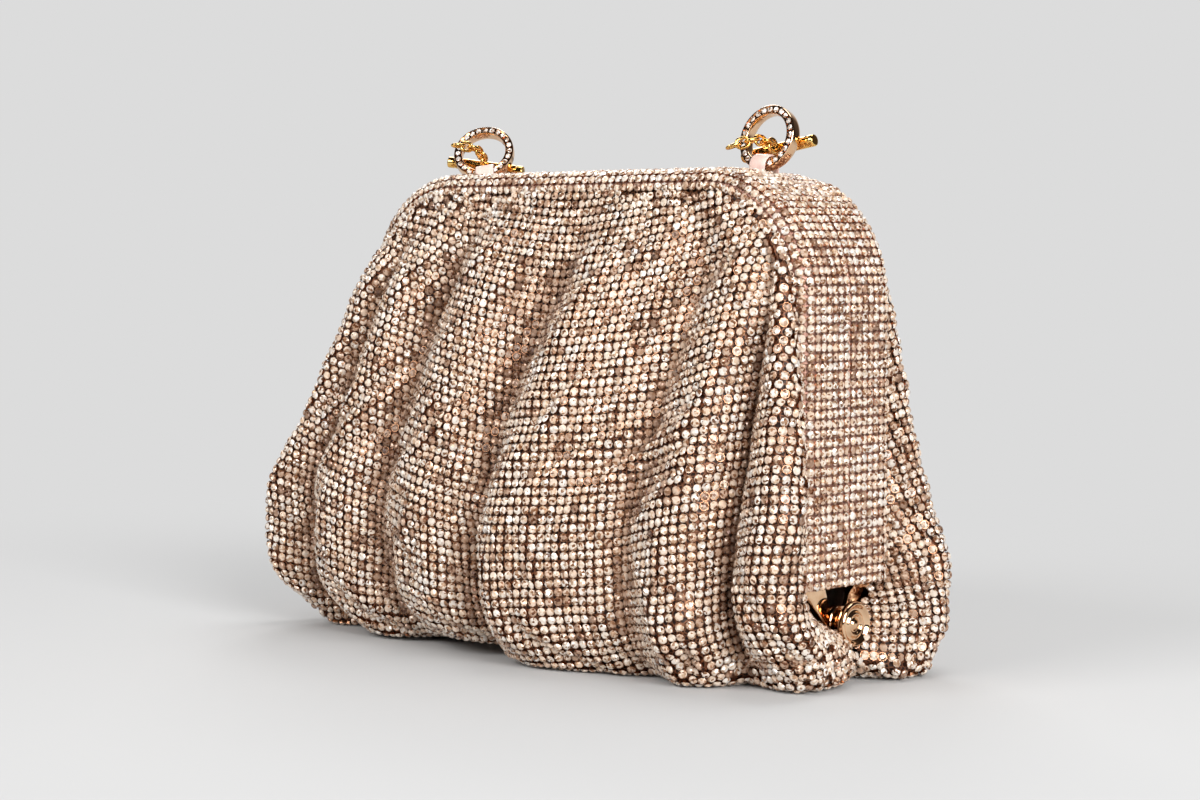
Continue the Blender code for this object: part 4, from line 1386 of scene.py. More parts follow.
BACK_FOLDS = MainFolds((
    (-0.86, -0.80, -0.78, -0.2, -0.6, -0.6),
    (-0.72, -0.66, -0.62, 0.2, 0.6, 0.7),
    (-0.56, -0.49, -0.45, -0.4, -1.0, -0.9),
    (-0.40, -0.34, -0.36, 0.3, 0.7, 0.6),
    (-0.24, -0.18, -0.15, -0.3, -0.9, -0.7),
    (-0.06, -0.01, 0.04, 0.3, 0.7, 0.7),
    (0.12, 0.20, 0.21, -0.4, -1.0, -0.8),
    (0.29, 0.36, 0.38, 0.3, 0.6, 0.6),
    (0.50, 0.52, 0.52, -0.4, -0.9, -0.8),
    (0.72, 0.67, 0.66, 0.2, 0.6, 0.6),
    (0.86, 0.81, 0.80, -0.2, -0.4, -0.4),
))
FRONT_WRINKLES = (
    # Deepest stretch of the crease beside the right cheek.
    Wrinkle(((112, 0.62), (98, 0.57), (70, 0.53), (45, 0.51), (12, 0.50)),
            ((112, -2.0), (85, -5.0), (12, -6.0)), 2.4, 3.2),
    # Curved fold left of the middle, and the hollows under the left shoulder.
    Wrinkle(((74, -0.14), (59, -0.11), (46, -0.05), (32, -0.01), (20, 0.01)),
            ((74, 1.0), (50, 3.0), (20, 1.5)), 5.0, 3.0),
    Wrinkle(((124, -0.28), (115, -0.32), (106, -0.36)), ((124, -2.0), (115, -4.0), (106, -2.0)), 5.0, 4.0),
    Wrinkle(((48, -0.50), (38, -0.52), (26, -0.55)), ((48, -1.5), (36, -3.5), (26, -2.0)), 4.0, 5.0),
    # The rolled cloth low down in front, with its dark eye.
    Wrinkle(((24, 0.42), (14, 0.40), (0, 0.38)), ((24, 1.0), (10, 4.5), (0, 4.0)), 11.0, 11.0),
    Wrinkle(((10, 0.405), (7, 0.40), (4, 0.395)), ((10, -7.0), (7, -11.0), (4, -7.0)), 3.0, 3.0),
)


LINING_FOLDS = MainFolds(tuple(
    (place, place, place, -0.12 if number % 2 else 0.12, -0.2 if number % 2 else 0.2, 0.0)
    for number, place in enumerate(np.linspace(-0.9, 0.9, 25))))
NO_CHEEK = ((0.0, 0.0), (1.0, 0.0))
LEVEL = ((-1.0, 0.0), (1.0, 0.0))
# How far the foot of each panel is lifted off the floor: place across, millimetres.
FRONT_LIFT = ((-1, 3), (-0.7, 0), (-0.35, 1), (-0.2, 4.5), (-0.05, 3), (0.03, 0), (0.3, 0), (0.6, 0),
              (0.85, 1), (1, 6))
BACK_LIFT = ((-1, 3), (-0.6, 0), (-0.2, 2), (0.1, 0), (0.5, 1), (0.8, 0), (1, 6))

PANELS = (
    PanelCloth(Half.FRONT, FRONT_CHEEK_SHARES, FRONT_FOLDS, FRONT_WRINKLES, FRONT_LIFT,
               notch_shares=FRONT_NOTCH_SHARES),
    PanelCloth(Half.BACK, BACK_CHEEK_SHARES, BACK_FOLDS, (), BACK_LIFT, notch_shares=BACK_NOTCH_SHARES),
)
LININGS = tuple(PanelCloth(
    half, NO_CHEEK, LINING_FOLDS, (), LEVEL, inset=9.3, top=151.1, cheek=0.0, floor=3.2, edge=12.0, room=10.0,
    notch_width=90.5, notch_depth=0.6, fade=6.0, columns=161, rows_above=80, slack=0.3) for half in Half)


@dataclass
class Pouch:
    """The two mesh panels with their crystals, and the satin lining.

    The flat widths hold the fullness of the gathers. They and the blends are in metres.
    """

    panel_flat: float = 0.36
    lining_flat: float = 0.30
    gathered_share: float = 0.9
    blend_start: tuple[float, float, float] = (0.0, 0.0, 0.006)
    blend_end: tuple[float, float, float] = (0.0, 0.0, 0.056)
    net_sink: float = 0.1
    net_thickness: float = 0.5
    lining_thickness: float = 0.4
    quick_rounds: int = 30
    seed: int = SEED + 7

    def build(self, finishes: Finishes, setter: CrystalSetter, tree: Any) -> None:
        """Make the panels, their stones and the lining.

        Args:
            finishes: The materials.
            setter: Sets the stones.
            tree: Its node tree.
        """
        for cloth in PANELS:
            label, form = cloth.half.label, cloth.form()
            sheet, area = cloth_object(f"{label}_panel_net", form, self.net_sink, self.net_thickness,
                                       finishes.net, 2)
            net = Net(form, FrameCover(cloth.half).last_column())
            net.rounds = net.rounds
            points, normals, over, hollows = net.lay()
            stones = setter.set_stones(f"{label}_panel_crystals", tree, points, normals, over,
                                       np.random.default_rng(self.seed), hollows)
            self._hang([sheet, *stones], f"{label}_mesh_panel")
            LOG.info("%s panel: %d stones, %.4f m2 of net", label, len(points), area)
        for cloth in LININGS:
            label = cloth.half.label
            sheet, area = cloth_object(f"{label}_lining", cloth.form(), 0.0, self.lining_thickness,
                                       finishes.lining, 1)
            self._hang([sheet], "satin_lining")
            LOG.info("%s lining: %.4f m2 of satin", label, area)

    def _hang(self, pieces: Sequence[Any], node: str) -> None:
        """Bake the place of a cloth and its stones into their meshes, and hide the solid that they stand for.

        Args:
            pieces: The cloth, then its stones.
            node: The solid that the cloth stands for.
        """
        for piece in pieces:
            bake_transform(piece)
        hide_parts(node)


@dataclass
class FrameCover(Arch):
    """The mesh sleeve on one half of the frame: nine columns of stones that follow the arch."""

    half: Half
    inner: float = 0.35
    first_column: float = 1.35
    round_edge: float = 5.0
    return_depth: float = 1.5
    scatter: float = 0.05
    press: float = 1.25
    press_reach: float = 24.0
    press_fade: float = 6.0
    flat_columns: int = 6
    bend_columns: int = 3
    bend_pitch: float = 2.6
    net_sink: float = 0.1
    net_thickness: float = 0.8
    arch_steps: int = 181
    section_steps: int = 23
    seed: int = SEED + 19

    def path(self, at: np.ndarray) -> tuple[np.ndarray, np.ndarray, np.ndarray]:
        """Points of the arch's outer line, from the left foot over the top to the right foot.

        Args:
            at: Lengths along it.

        Returns:
            Points, outward normals and directions.
        """
        leg, bend = self.spring - self.cover_foot, 0.5 * math.pi * self.shoulder
        knots = np.cumsum([0, leg, bend, 2 * self.flat, bend, leg])
        turn = np.interp(at, knots, [0, 0, 0.5 * math.pi, 0.5 * math.pi, math.pi, math.pi])
        normal = np.stack([-np.cos(turn), np.zeros_like(turn), np.sin(turn)], -1)
        ahead = np.stack([np.sin(turn), np.zeros_like(turn), np.cos(turn)], -1)
        core_x = np.interp(at, [knots[2], knots[3]], [-1, 1]) * self.flat
        core_z = np.interp(at, knots, [self.cover_foot] + [self.spring] * 4 + [self.cover_foot])
        points = np.stack([core_x, np.zeros_like(core_x), core_z], -1) + normal * self.shoulder
        return points, normal, ahead

    @property
    def length(self) -> float:
        """Length of the outer line."""
        return 2 * (self.spring - self.cover_foot) + math.pi * self.shoulder + 2 * self.flat

    @property
    def level(self) -> float:
        """Length across the sleeve from the parting to where its edge starts to turn."""
        return self.cover_depth - self.round_edge - self.inner

    def section(self, at: np.ndarray) -> tuple[np.ndarray, np.ndarray]:
        """The sleeve's outline across the frame, from the parting over the rounded edge.

        Args:
            at: Lengths along it.

        Returns:
            Depth and inset of each point, and the angle that its face has turned.
        """
        turn = np.clip((at - self.level) / self.round_edge, 0, 0.5 * math.pi)
        past = np.clip(at - self.level - 0.5 * math.pi * self.round_edge, 0, None)
        depth = self.inner + np.minimum(at, self.level) + self.round_edge * np.sin(turn)
        inset = self.round_edge * (1 - np.cos(turn)) + past
        return np.stack([depth, inset], -1), turn

    def build(self, finishes: Finishes, setter: CrystalSetter, tree: Any) -> None:
        """Make the sleeve and set its stones.

        Args:
            finishes: The materials.
            setter: Sets the stones.
            tree: Its node tree.
        """
        label, body = self.half.label, f"{self.half.label}_half"
        across = self.level + 0.5 * math.pi * self.round_edge + self.return_depth
        grid = self._place(np.linspace(0, self.length, self.arch_steps),
                           np.linspace(0, across, self.section_steps))[0]
        sleeve, _ = cloth_object(f"{label}_cover_net", Form(grid, -self.half.side), self.net_sink,
                                 self.net_thickness, finishes.cover_net, 1)
        points, normals, ahead = self._place(*self._stations())
        generator = np.random.default_rng(self.seed + (self.half is Half.BACK))
        points = points + generator.normal(0, self.scatter, points.shape) - normals * self._sink(points)
        stones = setter.set_stones(f"{label}_cover_crystals", tree, points.reshape(-1, 3),
                                   normals.reshape(-1, 3), ahead.reshape(-1, 3), generator)
        settle(sleeve, body, "crystal_mesh", f"{label}_frame_cover")
        for piece in stones:
            settle(piece, body, "crystal_mesh")
        LOG.info("%s cover: %d stones", label, points.shape[0] * points.shape[1])

    def _stations(self) -> tuple[np.ndarray, np.ndarray]:
        """Where the stones sit.

        Returns:
            Lengths along the arch, and lengths across it.
        """
        rows = round(self.length / PITCH)
        flat = self.first_column + PITCH * np.arange(self.flat_columns)
        bend = flat[-1] + self.bend_pitch * np.arange(1, self.bend_columns + 1)
        return (np.arange(rows) + 0.5) * self.length / rows, np.append(flat, bend)

    def _sink(self, points: np.ndarray) -> np.ndarray:
        """How far stones are pressed in under the toggles, whose rings and bars rock close above them.

        Args:
            points: Places of the stones.

        Returns:
            A depth for each.
        """
        if self.half is Half.FRONT:
            return np.zeros((*points.shape[:-1], 1))
        near = np.min([np.linalg.norm(points - toggle.wire, axis=-1) for toggle in TOGGLES], axis=0)
        return self.press * np.clip((self.press_reach - near) / self.press_fade, 0, 1)[..., None]

    def last_column(self) -> np.ndarray:
        """Places of the stones in the column next to the panel."""
        lengths, places = self._stations()
        return self._place(lengths, places[-1:])[0].reshape(-1, 3)

    def _place(self, lengths: np.ndarray, places: np.ndarray) -> tuple[np.ndarray, np.ndarray, np.ndarray]:
        """Points of the sleeve's face.

        Args:
            lengths: Lengths along the arch.
            places: Lengths across it.

        Returns:
            Points, normals and directions along the arch, rows by columns by three.
        """
        line, normal, ahead = self.path(lengths)
        profile, turn = self.section(places)
        outward = np.array([0.0, self.half.side, 0.0])
        points = (line[:, None] - normal[:, None] * profile[None, :, 1:]
                  + outward * profile[None, :, :1])
        face = normal[:, None] * np.cos(turn)[None, :, None] + outward * np.sin(turn)[None, :, None]
        return points, face, np.broadcast_to(ahead[:, None], points.shape).copy()


@dataclass
class FrameHalf(Arch):
    """One metal half of the frame: a polished channel round the arch, with legs that taper to eared lugs."""

    half: Half
    foot: float = 14.5
    flange_foot: float = 24.0
    foot_depth: float = 7.5
    depth: float = 19.3
    face: float = 2.7
    metal: float = 1.1
    flange: float = 6.0
    corner: float = 2.3
    step: float = 1.8
    overrun: float = 0.5
    parting: float = 0.15
    clear_foot: float = 3.5
    clear_top: float = 8.0
    clear_rise: float = 1.0
    lug_radius: float = 5.5
    lug_bore: float = 2.1
    lug_edge: float = 0.25
    front_lug: tuple[float, float] = (2.5, 4.0)
    back_lug: tuple[float, float] = (4.3, 5.9)
    edge_steps: int = 6
    foot_steps: int = 19
    leg_steps: int = 9
    bend_steps: int = 25
    top_steps: int = 9
    sharp: float = 35.0

    def build(self, finishes: Finishes) -> None:
        """Make the channel and its lugs.

        Args:
            finishes: The materials.
        """
        label = self.half.label
        heights = np.append(np.linspace(self.foot, self.cover_foot, self.foot_steps),
                            np.linspace(self.cover_foot + self.clear_rise, self.spring, self.leg_steps))
        bends = [(math.cos(a), math.sin(a)) for a in np.linspace(0, 0.5 * math.pi, self.bend_steps)[1:]]
        right = [(self.half_width, z, 1.0, 0.0) for z in heights]
        right += [(self.flat + self.shoulder * a, self.spring + self.shoulder * b, a, b) for a, b in bends]
        top = [(x, self.height, 0.0, 1.0)
               for x in np.linspace(self.flat, -self.flat, self.top_steps)[1:-1]]
        left = [(-x, z, -a, b) for x, z, a, b in right[::-1]]
        stations = np.array(right + top + left)
        centres = np.stack([stations[:, 0], np.zeros(len(stations)), stations[:, 1]], -1)
        inward = -np.stack([stations[:, 2], np.zeros(len(stations)), stations[:, 3]], -1)
        across = np.broadcast_to((0.0, self.half.side, 0.0), centres.shape)
        sections = np.array([self._section(z) for z in stations[:, 1]])
        channel = sweep(f"{label}_channel", centres, inward, across, sections, finishes.rose)
        pieces = [channel] + [self._lug(end, finishes) for end in End]
        frame = join_pieces(f"{label}_polished_frame", pieces)
        frame.data.set_sharp_from_angle(angle=math.radians(self.sharp))
        settle(frame, f"{label}_half", "rose_gold", f"{label}_frame")
        LOG.info("%s frame: channel and two lugs", label)

    def _section(self, height: float) -> list[tuple[float, float]]:
        """The channel's section at a height, as depth below the arch's face and distance from the parting.

        Args:
            height: The height.

        Returns:
            Its points.
        """
        taper = min(max((height - self.foot) / (self.cover_foot - self.foot), 0.0), 1.0)
        depth = self.foot_depth + (self.depth - self.foot_depth) * taper
        rise = min(max((height - self.flange_foot) / (self.cover_foot - self.flange_foot), 0.0), 1.0)
        rise = rise * rise * (3.0 - 2.0 * rise)
        low = self.metal + self.overrun
        inner = low + (self.flange - low) * rise
        outer = max(inner, self.corner + self.overrun)
        face = self.face + (self.step * (1.0 - rise) if self.half is Half.BACK else 0.0)
        angle = 0.5 * math.pi * np.arange(self.edge_steps + 1) / self.edge_steps
        centre = depth - self.corner

        def arc(radius: float) -> list[tuple[float, float]]:
            """Quarter round from the face to the flank."""
            return [(face + self.corner - radius * math.cos(a), centre + radius * math.sin(a))
                    for a in angle]

        near = self.parting
        if height <= self.cover_foot:
            near = self.clear_foot + (self.clear_top - self.clear_foot) * taper
        return ([(face, near)] + arc(self.corner)
                + [(face + outer, depth), (face + outer, depth - self.metal)]
                + arc(self.corner - self.metal)[::-1]
                + [(face + self.metal, near + self.metal), (face + inner, near + self.metal),
                   (face + inner, near)])

    def _lug(self, end: End, finishes: Finishes) -> Any:
        """One eared lug, as a flat ring round the hinge pin.

        Args:
            end: Which end of the bag.
            finishes: The materials.

        Returns:
            The object.
        """
        start, stop = self.back_lug if self.half is Half.BACK else self.front_lug
        middle = 0.5 * (start + stop)
        half_thick, soft = 0.5 * (stop - start), self.lug_edge
        wide = 0.5 * (self.lug_radius - self.lug_bore)
        outline = [(-wide, -half_thick), (wide - soft, -half_thick), (wide, -half_thick + soft),
                   (wide, half_thick - soft), (wide - soft, half_thick), (-wide, half_thick)]
        centre = (end.side * (self.half_width - middle), 0.0, self.hinge)
        return hoop(f"lug_{end.label}", centre, (0, 1, 0), (0, 0, 1), self.lug_bore + wide, outline,
                    finishes.rose, 64)


@dataclass
class Hinge(Arch):
    """What shows of the hinge at one end: a waisted barrel and a round cap with plain turned rings."""

    end: End
    barrel_depth: float = 2.2
    barrel_length: float = 2.8
    waist: float = 4.0
    barrel_radius: float = 5.0
    cap_depth: float = -0.9
    cap_radius: float = 7.5
    cap_thickness: float = 3.3
    groove: float = 1.15

    def build(self, finishes: Finishes) -> None:
        """Make the barrel and the cap.

        Args:
            finishes: The materials.
        """
        out, label = (self.end.side, 0.0, 0.0), self.end.label
        length, waist, wide = self.barrel_length, self.waist, self.barrel_radius
        outline = rounded([(0.0, waist), (0.35 * length, waist), (0.55 * length, 0.5 * (waist + wide)),
                           (0.75 * length, wide), (length, wide)])
        # The barrel takes the browner copy of the rose plate: painted shade in the recess between leg and
        # cap.
        barrel = turned(f"barrel_{label}", outline, self._place(self.barrel_depth), out, finishes.barrel, 96)
        cap = turned(f"ringed_cap_{label}", self._cap_outline(), self._place(self.cap_depth), out,
                     finishes.rose, 128)
        settle(barrel, "pouch", "rose_gold", f"hinge_barrel_{label}")
        settle(cap, "pouch", "rose_gold", f"hinge_cap_{label}")
        LOG.info("%s hinge: barrel and ringed cap", label)

    def _place(self, depth: float) -> tuple[float, float, float]:
        """Point of the hinge axis at a depth below the arch's face."""
        return (self.end.side * (self.half_width - depth), 0.0, self.hinge)

    def _cap_outline(self) -> np.ndarray:
        """The cap's outline: a rolled rim, a groove, a raised ring, a second groove and a boss.

        Returns:
            Pairs of place along the axis and radius.
        """
        radius, thick, low = self.cap_radius, self.cap_thickness, self.cap_thickness - self.groove
        raised = thick - 0.3 * self.groove
        rim = [(0.0, 0.70), (0.2 * thick, 0.96), (0.5 * thick, 1.0), (0.85 * thick, 0.98), (thick, 0.91),
               (thick, 0.86), (thick - 0.4, 0.80), (low, 0.70), (low, 0.58), (raised, 0.50), (raised, 0.42),
               (low, 0.35), (low, 0.27), (raised, 0.18), (raised + 0.15, 0.05)]
        return rounded([(along, radius * share) for along, share in rim])


@dataclass
class Toggle(Arch):
    """One ring on top of the bag, with its satin tab, its toggle bar and its short run of chain."""

    end: End
    place: float
    turn: float
    lean: float
    bar_turn: float
    from_parting: float = 4.6
    lift: float = 2.2
    ring_radius: float = 9.5
    wall: float = 1.5
    axial: float = 2.5
    rim: float = 1.25
    groove: float = 0.95
    groove_depth: float = 0.5
    stones: int = 24
    tab_radius: float = 3.74
    tab_thickness: float = 0.7
    tab_width: float = 6.5
    tab_seat: float = 1.9
    tab_fullness: float = 1.6
    bar_half: float = 14.5
    bar_radius: float = 2.0
    bar_below: float = 1.9
    bar_behind: float = 4.8
    eye_ahead: float = 3.6
    eye_radius: float = 2.2
    eye_wire: float = 0.6
    link_length: float = 5.5
    link_width: float = 4.2
    link_wire: float = 0.55
    link_gap: float = 0.1
    links: int = 5
    turn_links: int = 3
    chain_way: tuple[float, float, float] = (-0.75, 0.55, -0.36)
    seed: int = SEED + 31

    def __post_init__(self) -> None:
        """Work out the directions of the ring and of its bar."""
        x = self.place * self.half_width
        slope = max(abs(x) - self.flat, 0.0) / self.shoulder
        self.normal = np.array([math.copysign(slope, x), 0.0, math.sqrt(1.0 - slope**2)])
        foot = np.array([x, self.from_parting, self.height - self.shoulder * (1.0 - self.normal[2])])
        yaw, tilt = math.radians(self.turn), math.radians(self.lean)
        facing = np.array([math.sin(yaw), -math.cos(yaw), 0.0])
        self.facing = unit(facing - self.normal * (facing @ self.normal))
        self.across = np.cross(self.normal, self.facing)
        self.up = self.normal * math.cos(tilt) - self.facing * math.sin(tilt)
        self.ahead = self.facing * math.cos(tilt) + self.normal * math.sin(tilt)
        self.wire = foot + self.normal * self.lift
        self.centre = self.wire + self.up * self.ring_radius
        swing = math.radians(self.bar_turn)
        self.bar_across = self.across * math.cos(swing) + self.up * math.sin(swing)
        self.bar_up = self.up * math.cos(swing) - self.across * math.sin(swing)
        self.bar_middle = self.centre - self.bar_up * self.bar_below - self.ahead * self.bar_behind
        self.eye = self.bar_middle + self.ahead * self.eye_ahead

    def build(self, finishes: Finishes, tree: Any) -> None:
        """Make the ring, its stones, the tab, the bar and the links.

        Args:
            finishes: The materials.
            tree: Node tree that sets clear stones.
        """
        self._ring(finishes, tree)
        self._tab(finishes)
        self._bar(finishes)
        self._chain(finishes)
        LOG.info("%s toggle: ring with %d stones, tab, bar, %d links", self.end.label, self.stones,
                 self.links)

    def _ring(self, finishes: Finishes, tree: Any) -> None:
        """The thick ring, round at the back, with crystals set in its flat front.

        Args:
            finishes: The materials.
            tree: Node tree that sets clear stones.
        """
        label = self.end.label
        back = [(self.wall * math.sin(a), -self.axial * math.cos(a))
                for a in np.linspace(-0.5, 0.5, 17) * math.pi]
        # In from the wall and back from the face: the bevel of the front edge.
        steps = ((0.0, 0.6), (0.03, 0.35), (0.12, 0.12))
        bevel = [(self.wall - a, self.axial - b) for a, b in steps] + [(self.rim, self.axial)]
        floor = self.axial - self.groove_depth
        front = bevel + [(self.groove, self.axial), (self.groove, floor)]
        profile = back + front + [(-a, b) for a, b in front[::-1]]
        ring = hoop(f"ring_{label}_band", self.centre, self.across, self.up, self.ring_radius, profile,
                    finishes.rose, 128)
        angle = math.tau * (np.arange(self.stones)[:, None] + 0.5) / self.stones
        arms = self.across * np.cos(angle) + self.up * np.sin(angle)
        points = self.centre + arms * self.ring_radius + self.ahead * floor
        small = CrystalSetter(cup_foot=0.85, cup_rim=1.02, cup_height=0.22, girdle=1.0, waist=0.82,
                              table=0.45, crown=0.24, tilt=3.0)
        generator = np.random.default_rng(self.seed)
        facing = np.broadcast_to(self.ahead, points.shape).copy()
        gems = small.set_stones(f"ring_{label}_crystals", tree, points, facing, np.cross(facing, arms),
                                generator)
        settle(ring, f"ring_{label}", "rose_gold", f"toggle_ring_{label}")
        for gem in gems:
            settle(gem, f"ring_{label}", "crystal_mesh")

    def _tab(self, finishes: Finishes) -> None:
        """The satin loop over the ring's lowest stretch.

        Args:
            finishes: The materials.
        """
        label = self.end.label
        seat = [(self.tab_radius, -self.tab_seat * k, 1.0, 0.0) for k in (1.0, 0.5)]
        arc = [(self.tab_radius * math.cos(a), self.tab_radius * math.sin(a), math.cos(a), math.sin(a))
               for a in np.linspace(0, math.pi, 33)]
        line = np.array(seat + arc + [(-a, b, -c, d) for a, b, c, d in seat[::-1]])
        centres = self.wire + line[:, :1] * self.facing + line[:, 1:2] * self.normal
        away = line[:, 2:3] * self.facing + line[:, 3:] * self.normal
        half, thick = 0.5 * self.tab_width, 0.5 * self.tab_thickness
        corner = [(half - 0.35, thick), (half - 0.1, 0.7 * thick), (half, 0.0)]
        upper = [(-a, b) for a, b in corner[::-1]] + [(k * half, thick) for k in (-0.5, 0.0, 0.5)] + corner
        profile = upper + [(a, -b) for a, b in upper[::-1][1:-1]]
        across = np.broadcast_to(self.across, centres.shape)
        tab = sweep(f"satin_loop_{label}", centres, across, away, profile, finishes.tab)
        settle(tab, "back_half", "satin_tab", f"satin_tab_{label}")

    def _bar(self, finishes: Finishes) -> None:
        """The toggle bar behind the ring, with a collar near each end and an eye in the middle.

        Args:
            finishes: The materials.
        """
        label, half, radius = self.end.label, self.bar_half, self.bar_radius
        # Back from the end, and in from the bar's flank: the rounded tip, then the groove of the collar.
        steps = ((0.0, 0.8), (0.0, 0.45), (0.15, 0.12), (0.45, 0.0), (2.4, 0.0), (2.55, 0.3), (3.0, 0.3),
                 (3.15, 0.0))
        right = [(half - along, radius - inwards) for along, inwards in steps]
        outline = [(-along, wide) for along, wide in right] + right[::-1]
        bar = turned(f"bar_{label}_rod", outline, self.bar_middle, self.bar_across, finishes.yellow, 64, 50.0)
        eye = hoop(f"bar_{label}_eye", self.eye, self.ahead, self.bar_up, self.eye_radius,
                   circle(self.eye_wire, 16), finishes.yellow, 48)
        settle(bar, f"bar_{label}", "yellow_gold", f"toggle_bar_{label}")
        settle(eye, f"bar_{label}", "yellow_gold")

    def _chain(self, finishes: Finishes) -> None:
        """The oval links, each hung in the one before.

        Args:
            finishes: The materials.
        """
        sideways, forwards, upwards = self.chain_way
        goal = unit(self.bar_across * sideways + self.ahead * forwards + self.bar_up * upwards)
        reach = 0.5 * self.link_length - self.link_wire
        bend = 0.5 * self.link_width - self.link_wire
        tip = self.eye + self.ahead * self.eye_radius
        overlap = self.eye_wire + self.link_wire + self.link_gap
        direction, normal = self.ahead, self.bar_up
        angle = np.linspace(-0.5, 0.5, 13)[:, None] * math.pi
        for number in range(self.links):
            share = min(number / self.turn_links, 1.0)
            following = unit(self.ahead * (1.0 - share) + goal * share)
            centre = tip - unit(direction + following) * overlap + following * reach
            if number:
                normal = np.cross(following, normal)
            normal = unit(normal - following * (normal @ following))
            direction = following
            tip = centre + direction * reach
            overlap = 2.0 * self.link_wire + self.link_gap
            side = np.cross(normal, direction)
            half_turn = direction * np.cos(angle) + side * np.sin(angle)
            arms = np.concatenate([half_turn, -half_turn])
            shift = np.repeat([[reach - bend], [bend - reach]], len(angle), axis=0)
            centres = centre + direction * shift + arms * bend
            planes = np.broadcast_to(normal, centres.shape)
            name = f"link_{self.end.label}_{number + 1}"
            link = sweep(f"{name}_wire", centres, arms, planes, circle(self.link_wire, 14), finishes.yellow,
                         True)
            settle(link, name, "yellow_gold", f"chain_{name}")


TOGGLES = (
    Toggle(End.RIGHT, place=0.615, turn=0.0, lean=16.0, bar_turn=14.0),
    Toggle(End.LEFT, place=-0.672, turn=38.0, lean=26.0, bar_turn=-20.0),
)


@dataclass
class HiddenParts:
    """The parts out of sight that keep their solids: hinge pins, strips that hold the cloth, and magnets."""

    steel: tuple[str, ...] = tuple(f"{half.label}_{part}" for half in Half
                                   for part in ("retaining_strip", "magnet_right", "magnet_left"))
    gold: tuple[str, ...] = tuple(f"hinge_pin_{end.label}" for end in End)

    def dress(self, finishes: Finishes) -> None:
        """Give each its material.

        Args:
            finishes: The materials.
        """
        for names, finish in ((self.steel, finishes.steel), (self.gold, finishes.rose)):
            for name in names:
                mesh = bpy.data.objects[name].data
                mesh.materials.clear()
                mesh.materials.append(finish)
        LOG.info("hidden parts: %d dressed", len(self.steel) + len(self.gold))


# Studio


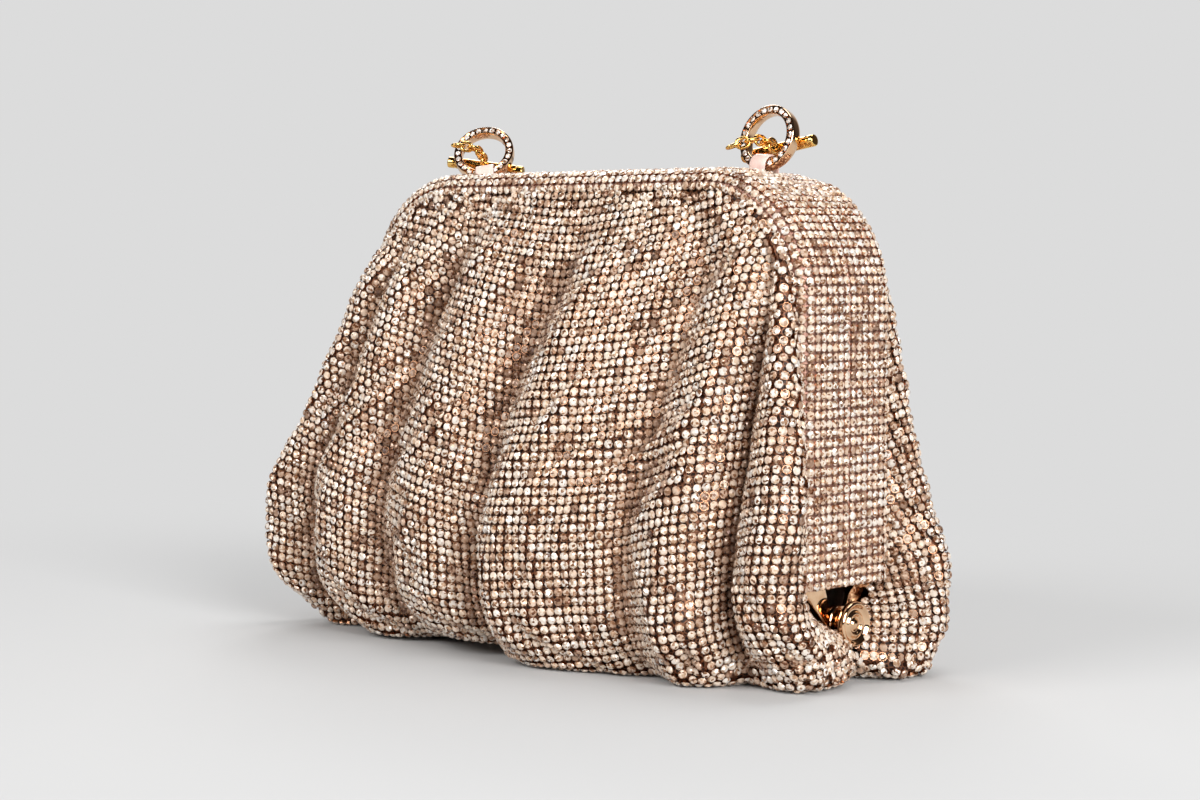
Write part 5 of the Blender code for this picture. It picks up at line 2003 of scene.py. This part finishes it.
@dataclass
class Studio:
    """Pale paper, soft boxes and the camera at the photograph's angle."""

    azimuth: float = 42.665
    elevation: float = 3.451
    distance: float = 875.0
    lens: float = 76.05
    shift: float = -5.444
    aim: float = 83.571
    sensor: float = 36.0
    floor: float = -2.95
    floor_half: float = 6000.0
    room: float = 0.64
    far_side: tuple[float, float, float] = (-0.677, 0.733, -0.06)
    lamp_aim: float = 0.08
    # Name, place in metres, side in metres and power in watts.
    lamps: tuple[tuple[str, tuple[float, float, float], float, float], ...] = (
        ("key_light", (-0.35, -1.4, 0.95), 0.8, 13.0),
        ("side_light", (1.4, -0.6, 0.65), 0.8, 27.0),
        ("top_light", (0.1, 0.35, 1.5), 0.8, 7.5),
        ("rim_light", (-0.9, 0.9, 0.9), 0.6, 7.0),
    )

    def build(self, finishes: Finishes) -> None:
        """Make the floor, the lights, the world and the camera.

        Args:
            finishes: The materials.
        """
        points = [(x * self.floor_half, y * self.floor_half, self.floor)
                  for x, y in ((-1, -1), (1, -1), (1, 1), (-1, 1))]
        mesh_object("studio_floor", points, [(0, 1, 2, 3)], finishes.floor, outwards=False)
        self._world()
        for lamp in self.lamps:
            self._box(*lamp)
        self._camera()

    def _camera(self) -> None:
        """Place the camera."""
        turn, rise = math.radians(self.azimuth), math.radians(self.elevation)
        right = Vector((math.cos(turn), math.sin(turn), 0.0))
        back = Vector((math.sin(turn) * math.cos(rise), -math.cos(turn) * math.cos(rise), math.sin(rise)))
        target = right * (self.shift * MM) + Vector((FRAME_MIDDLE * MM, 0.0, self.aim * MM))
        data = bpy.data.cameras.new("camera")
        data.lens = self.lens
        data.sensor_width = self.sensor
        data.clip_end = 50.0
        camera = bpy.data.objects.new("camera", data)
        camera.location = target + back * (self.distance * MM)
        camera.rotation_euler = back.to_track_quat("Z", "Y").to_euler()
        bpy.context.scene.collection.objects.link(camera)
        bpy.context.scene.camera = camera

    def _box(self, name: str, place: tuple[float, float, float], size: float, power: float) -> None:
        """Hang one soft box, turned to the bag.

        Args:
            name: Its name.
            place: Where it hangs, in metres.
            size: Length of its sides, in metres.
            power: Its power in watts.
        """
        data = bpy.data.lights.new(name, "AREA")
        data.shape = "SQUARE"
        data.size = size
        data.energy = power
        lamp = bpy.data.objects.new(name, data)
        lamp.location = place
        away = Vector(place) - Vector((0.0, 0.0, self.lamp_aim))
        lamp.rotation_euler = away.to_track_quat("Z", "Y").to_euler()
        bpy.context.scene.collection.objects.link(lamp)

    def _world(self) -> None:
        """A grey room. Its far side is pale, and reflections also see its darker near side and ceiling."""
        world = bpy.data.worlds.new("studio_room")
        bpy.context.scene.world = world
        world.use_nodes = True
        tree = world.node_tree
        tree.nodes.clear()
        seen = add_node(tree, "ShaderNodeBackground", inputs={"Color": linear("#DCDCDC"), "Strength": 1.0})
        way = add_node(tree, "ShaderNodeTexCoord").outputs["Generated"]
        far = add_node(tree, "ShaderNodeVectorMath", {"operation": "DOT_PRODUCT"}, {
            0: way, 1: self.far_side}).outputs["Value"]
        share = add_node(tree, "ShaderNodeMapRange", inputs={"Value": far, "From Min": -1.0, "From Max": 1.0})
        walls = add_node(tree, "ShaderNodeValToRGB", inputs={"Fac": share.outputs["Result"]}, stops=[
            (0.0, "#1E1815"), (0.55, "#2E2621"), (0.80, "#5C524B"), (0.93, "#DCDCDC"), (1.0, "#DCDCDC")])
        glossy = add_node(tree, "ShaderNodeBackground", inputs={
            "Color": walls.outputs["Color"], "Strength": 1.0})
        room = add_node(tree, "ShaderNodeBackground", inputs={
            "Color": linear("#C9C9C9"), "Strength": self.room})
        path = add_node(tree, "ShaderNodeLightPath")
        shiny = add_node(tree, "ShaderNodeMath", {"operation": "MAXIMUM"}, {
            0: path.outputs["Is Glossy Ray"], 1: path.outputs["Is Transmission Ray"]})
        lit = add_node(tree, "ShaderNodeMixShader", inputs={
            0: shiny.outputs["Value"], 1: room.outputs[0], 2: glossy.outputs[0]})
        mixed = add_node(tree, "ShaderNodeMixShader", inputs={
            0: path.outputs["Is Camera Ray"], 1: lit.outputs[0], 2: seen.outputs[0]})
        add_node(tree, "ShaderNodeOutputWorld", inputs={"Surface": mixed.outputs[0]})


def main() -> None:
    """Build the bag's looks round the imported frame."""
    logging.basicConfig(level=logging.INFO, format="%(name)s: %(message)s")
    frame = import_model()
    bpy.context.scene.view_settings.view_transform = "Standard"
    finishes = Finishes()
    setter = CrystalSetter()
    tree = setter.tree(finishes.crystal, finishes.cup)
    clear_tree = setter.tree(finishes.clear, finishes.rose)
    Pouch().build(finishes, setter, tree)
    for half in Half:
        FrameCover(half).build(finishes, setter, tree)
        FrameHalf(half).build(finishes)
    for end in End:
        Hinge(end).build(finishes)
    for toggle in TOGGLES:
        toggle.build(finishes, clear_tree)
    HiddenParts().dress(finishes)
    Studio().build(finishes)


if __name__ == "__main__":
    main()
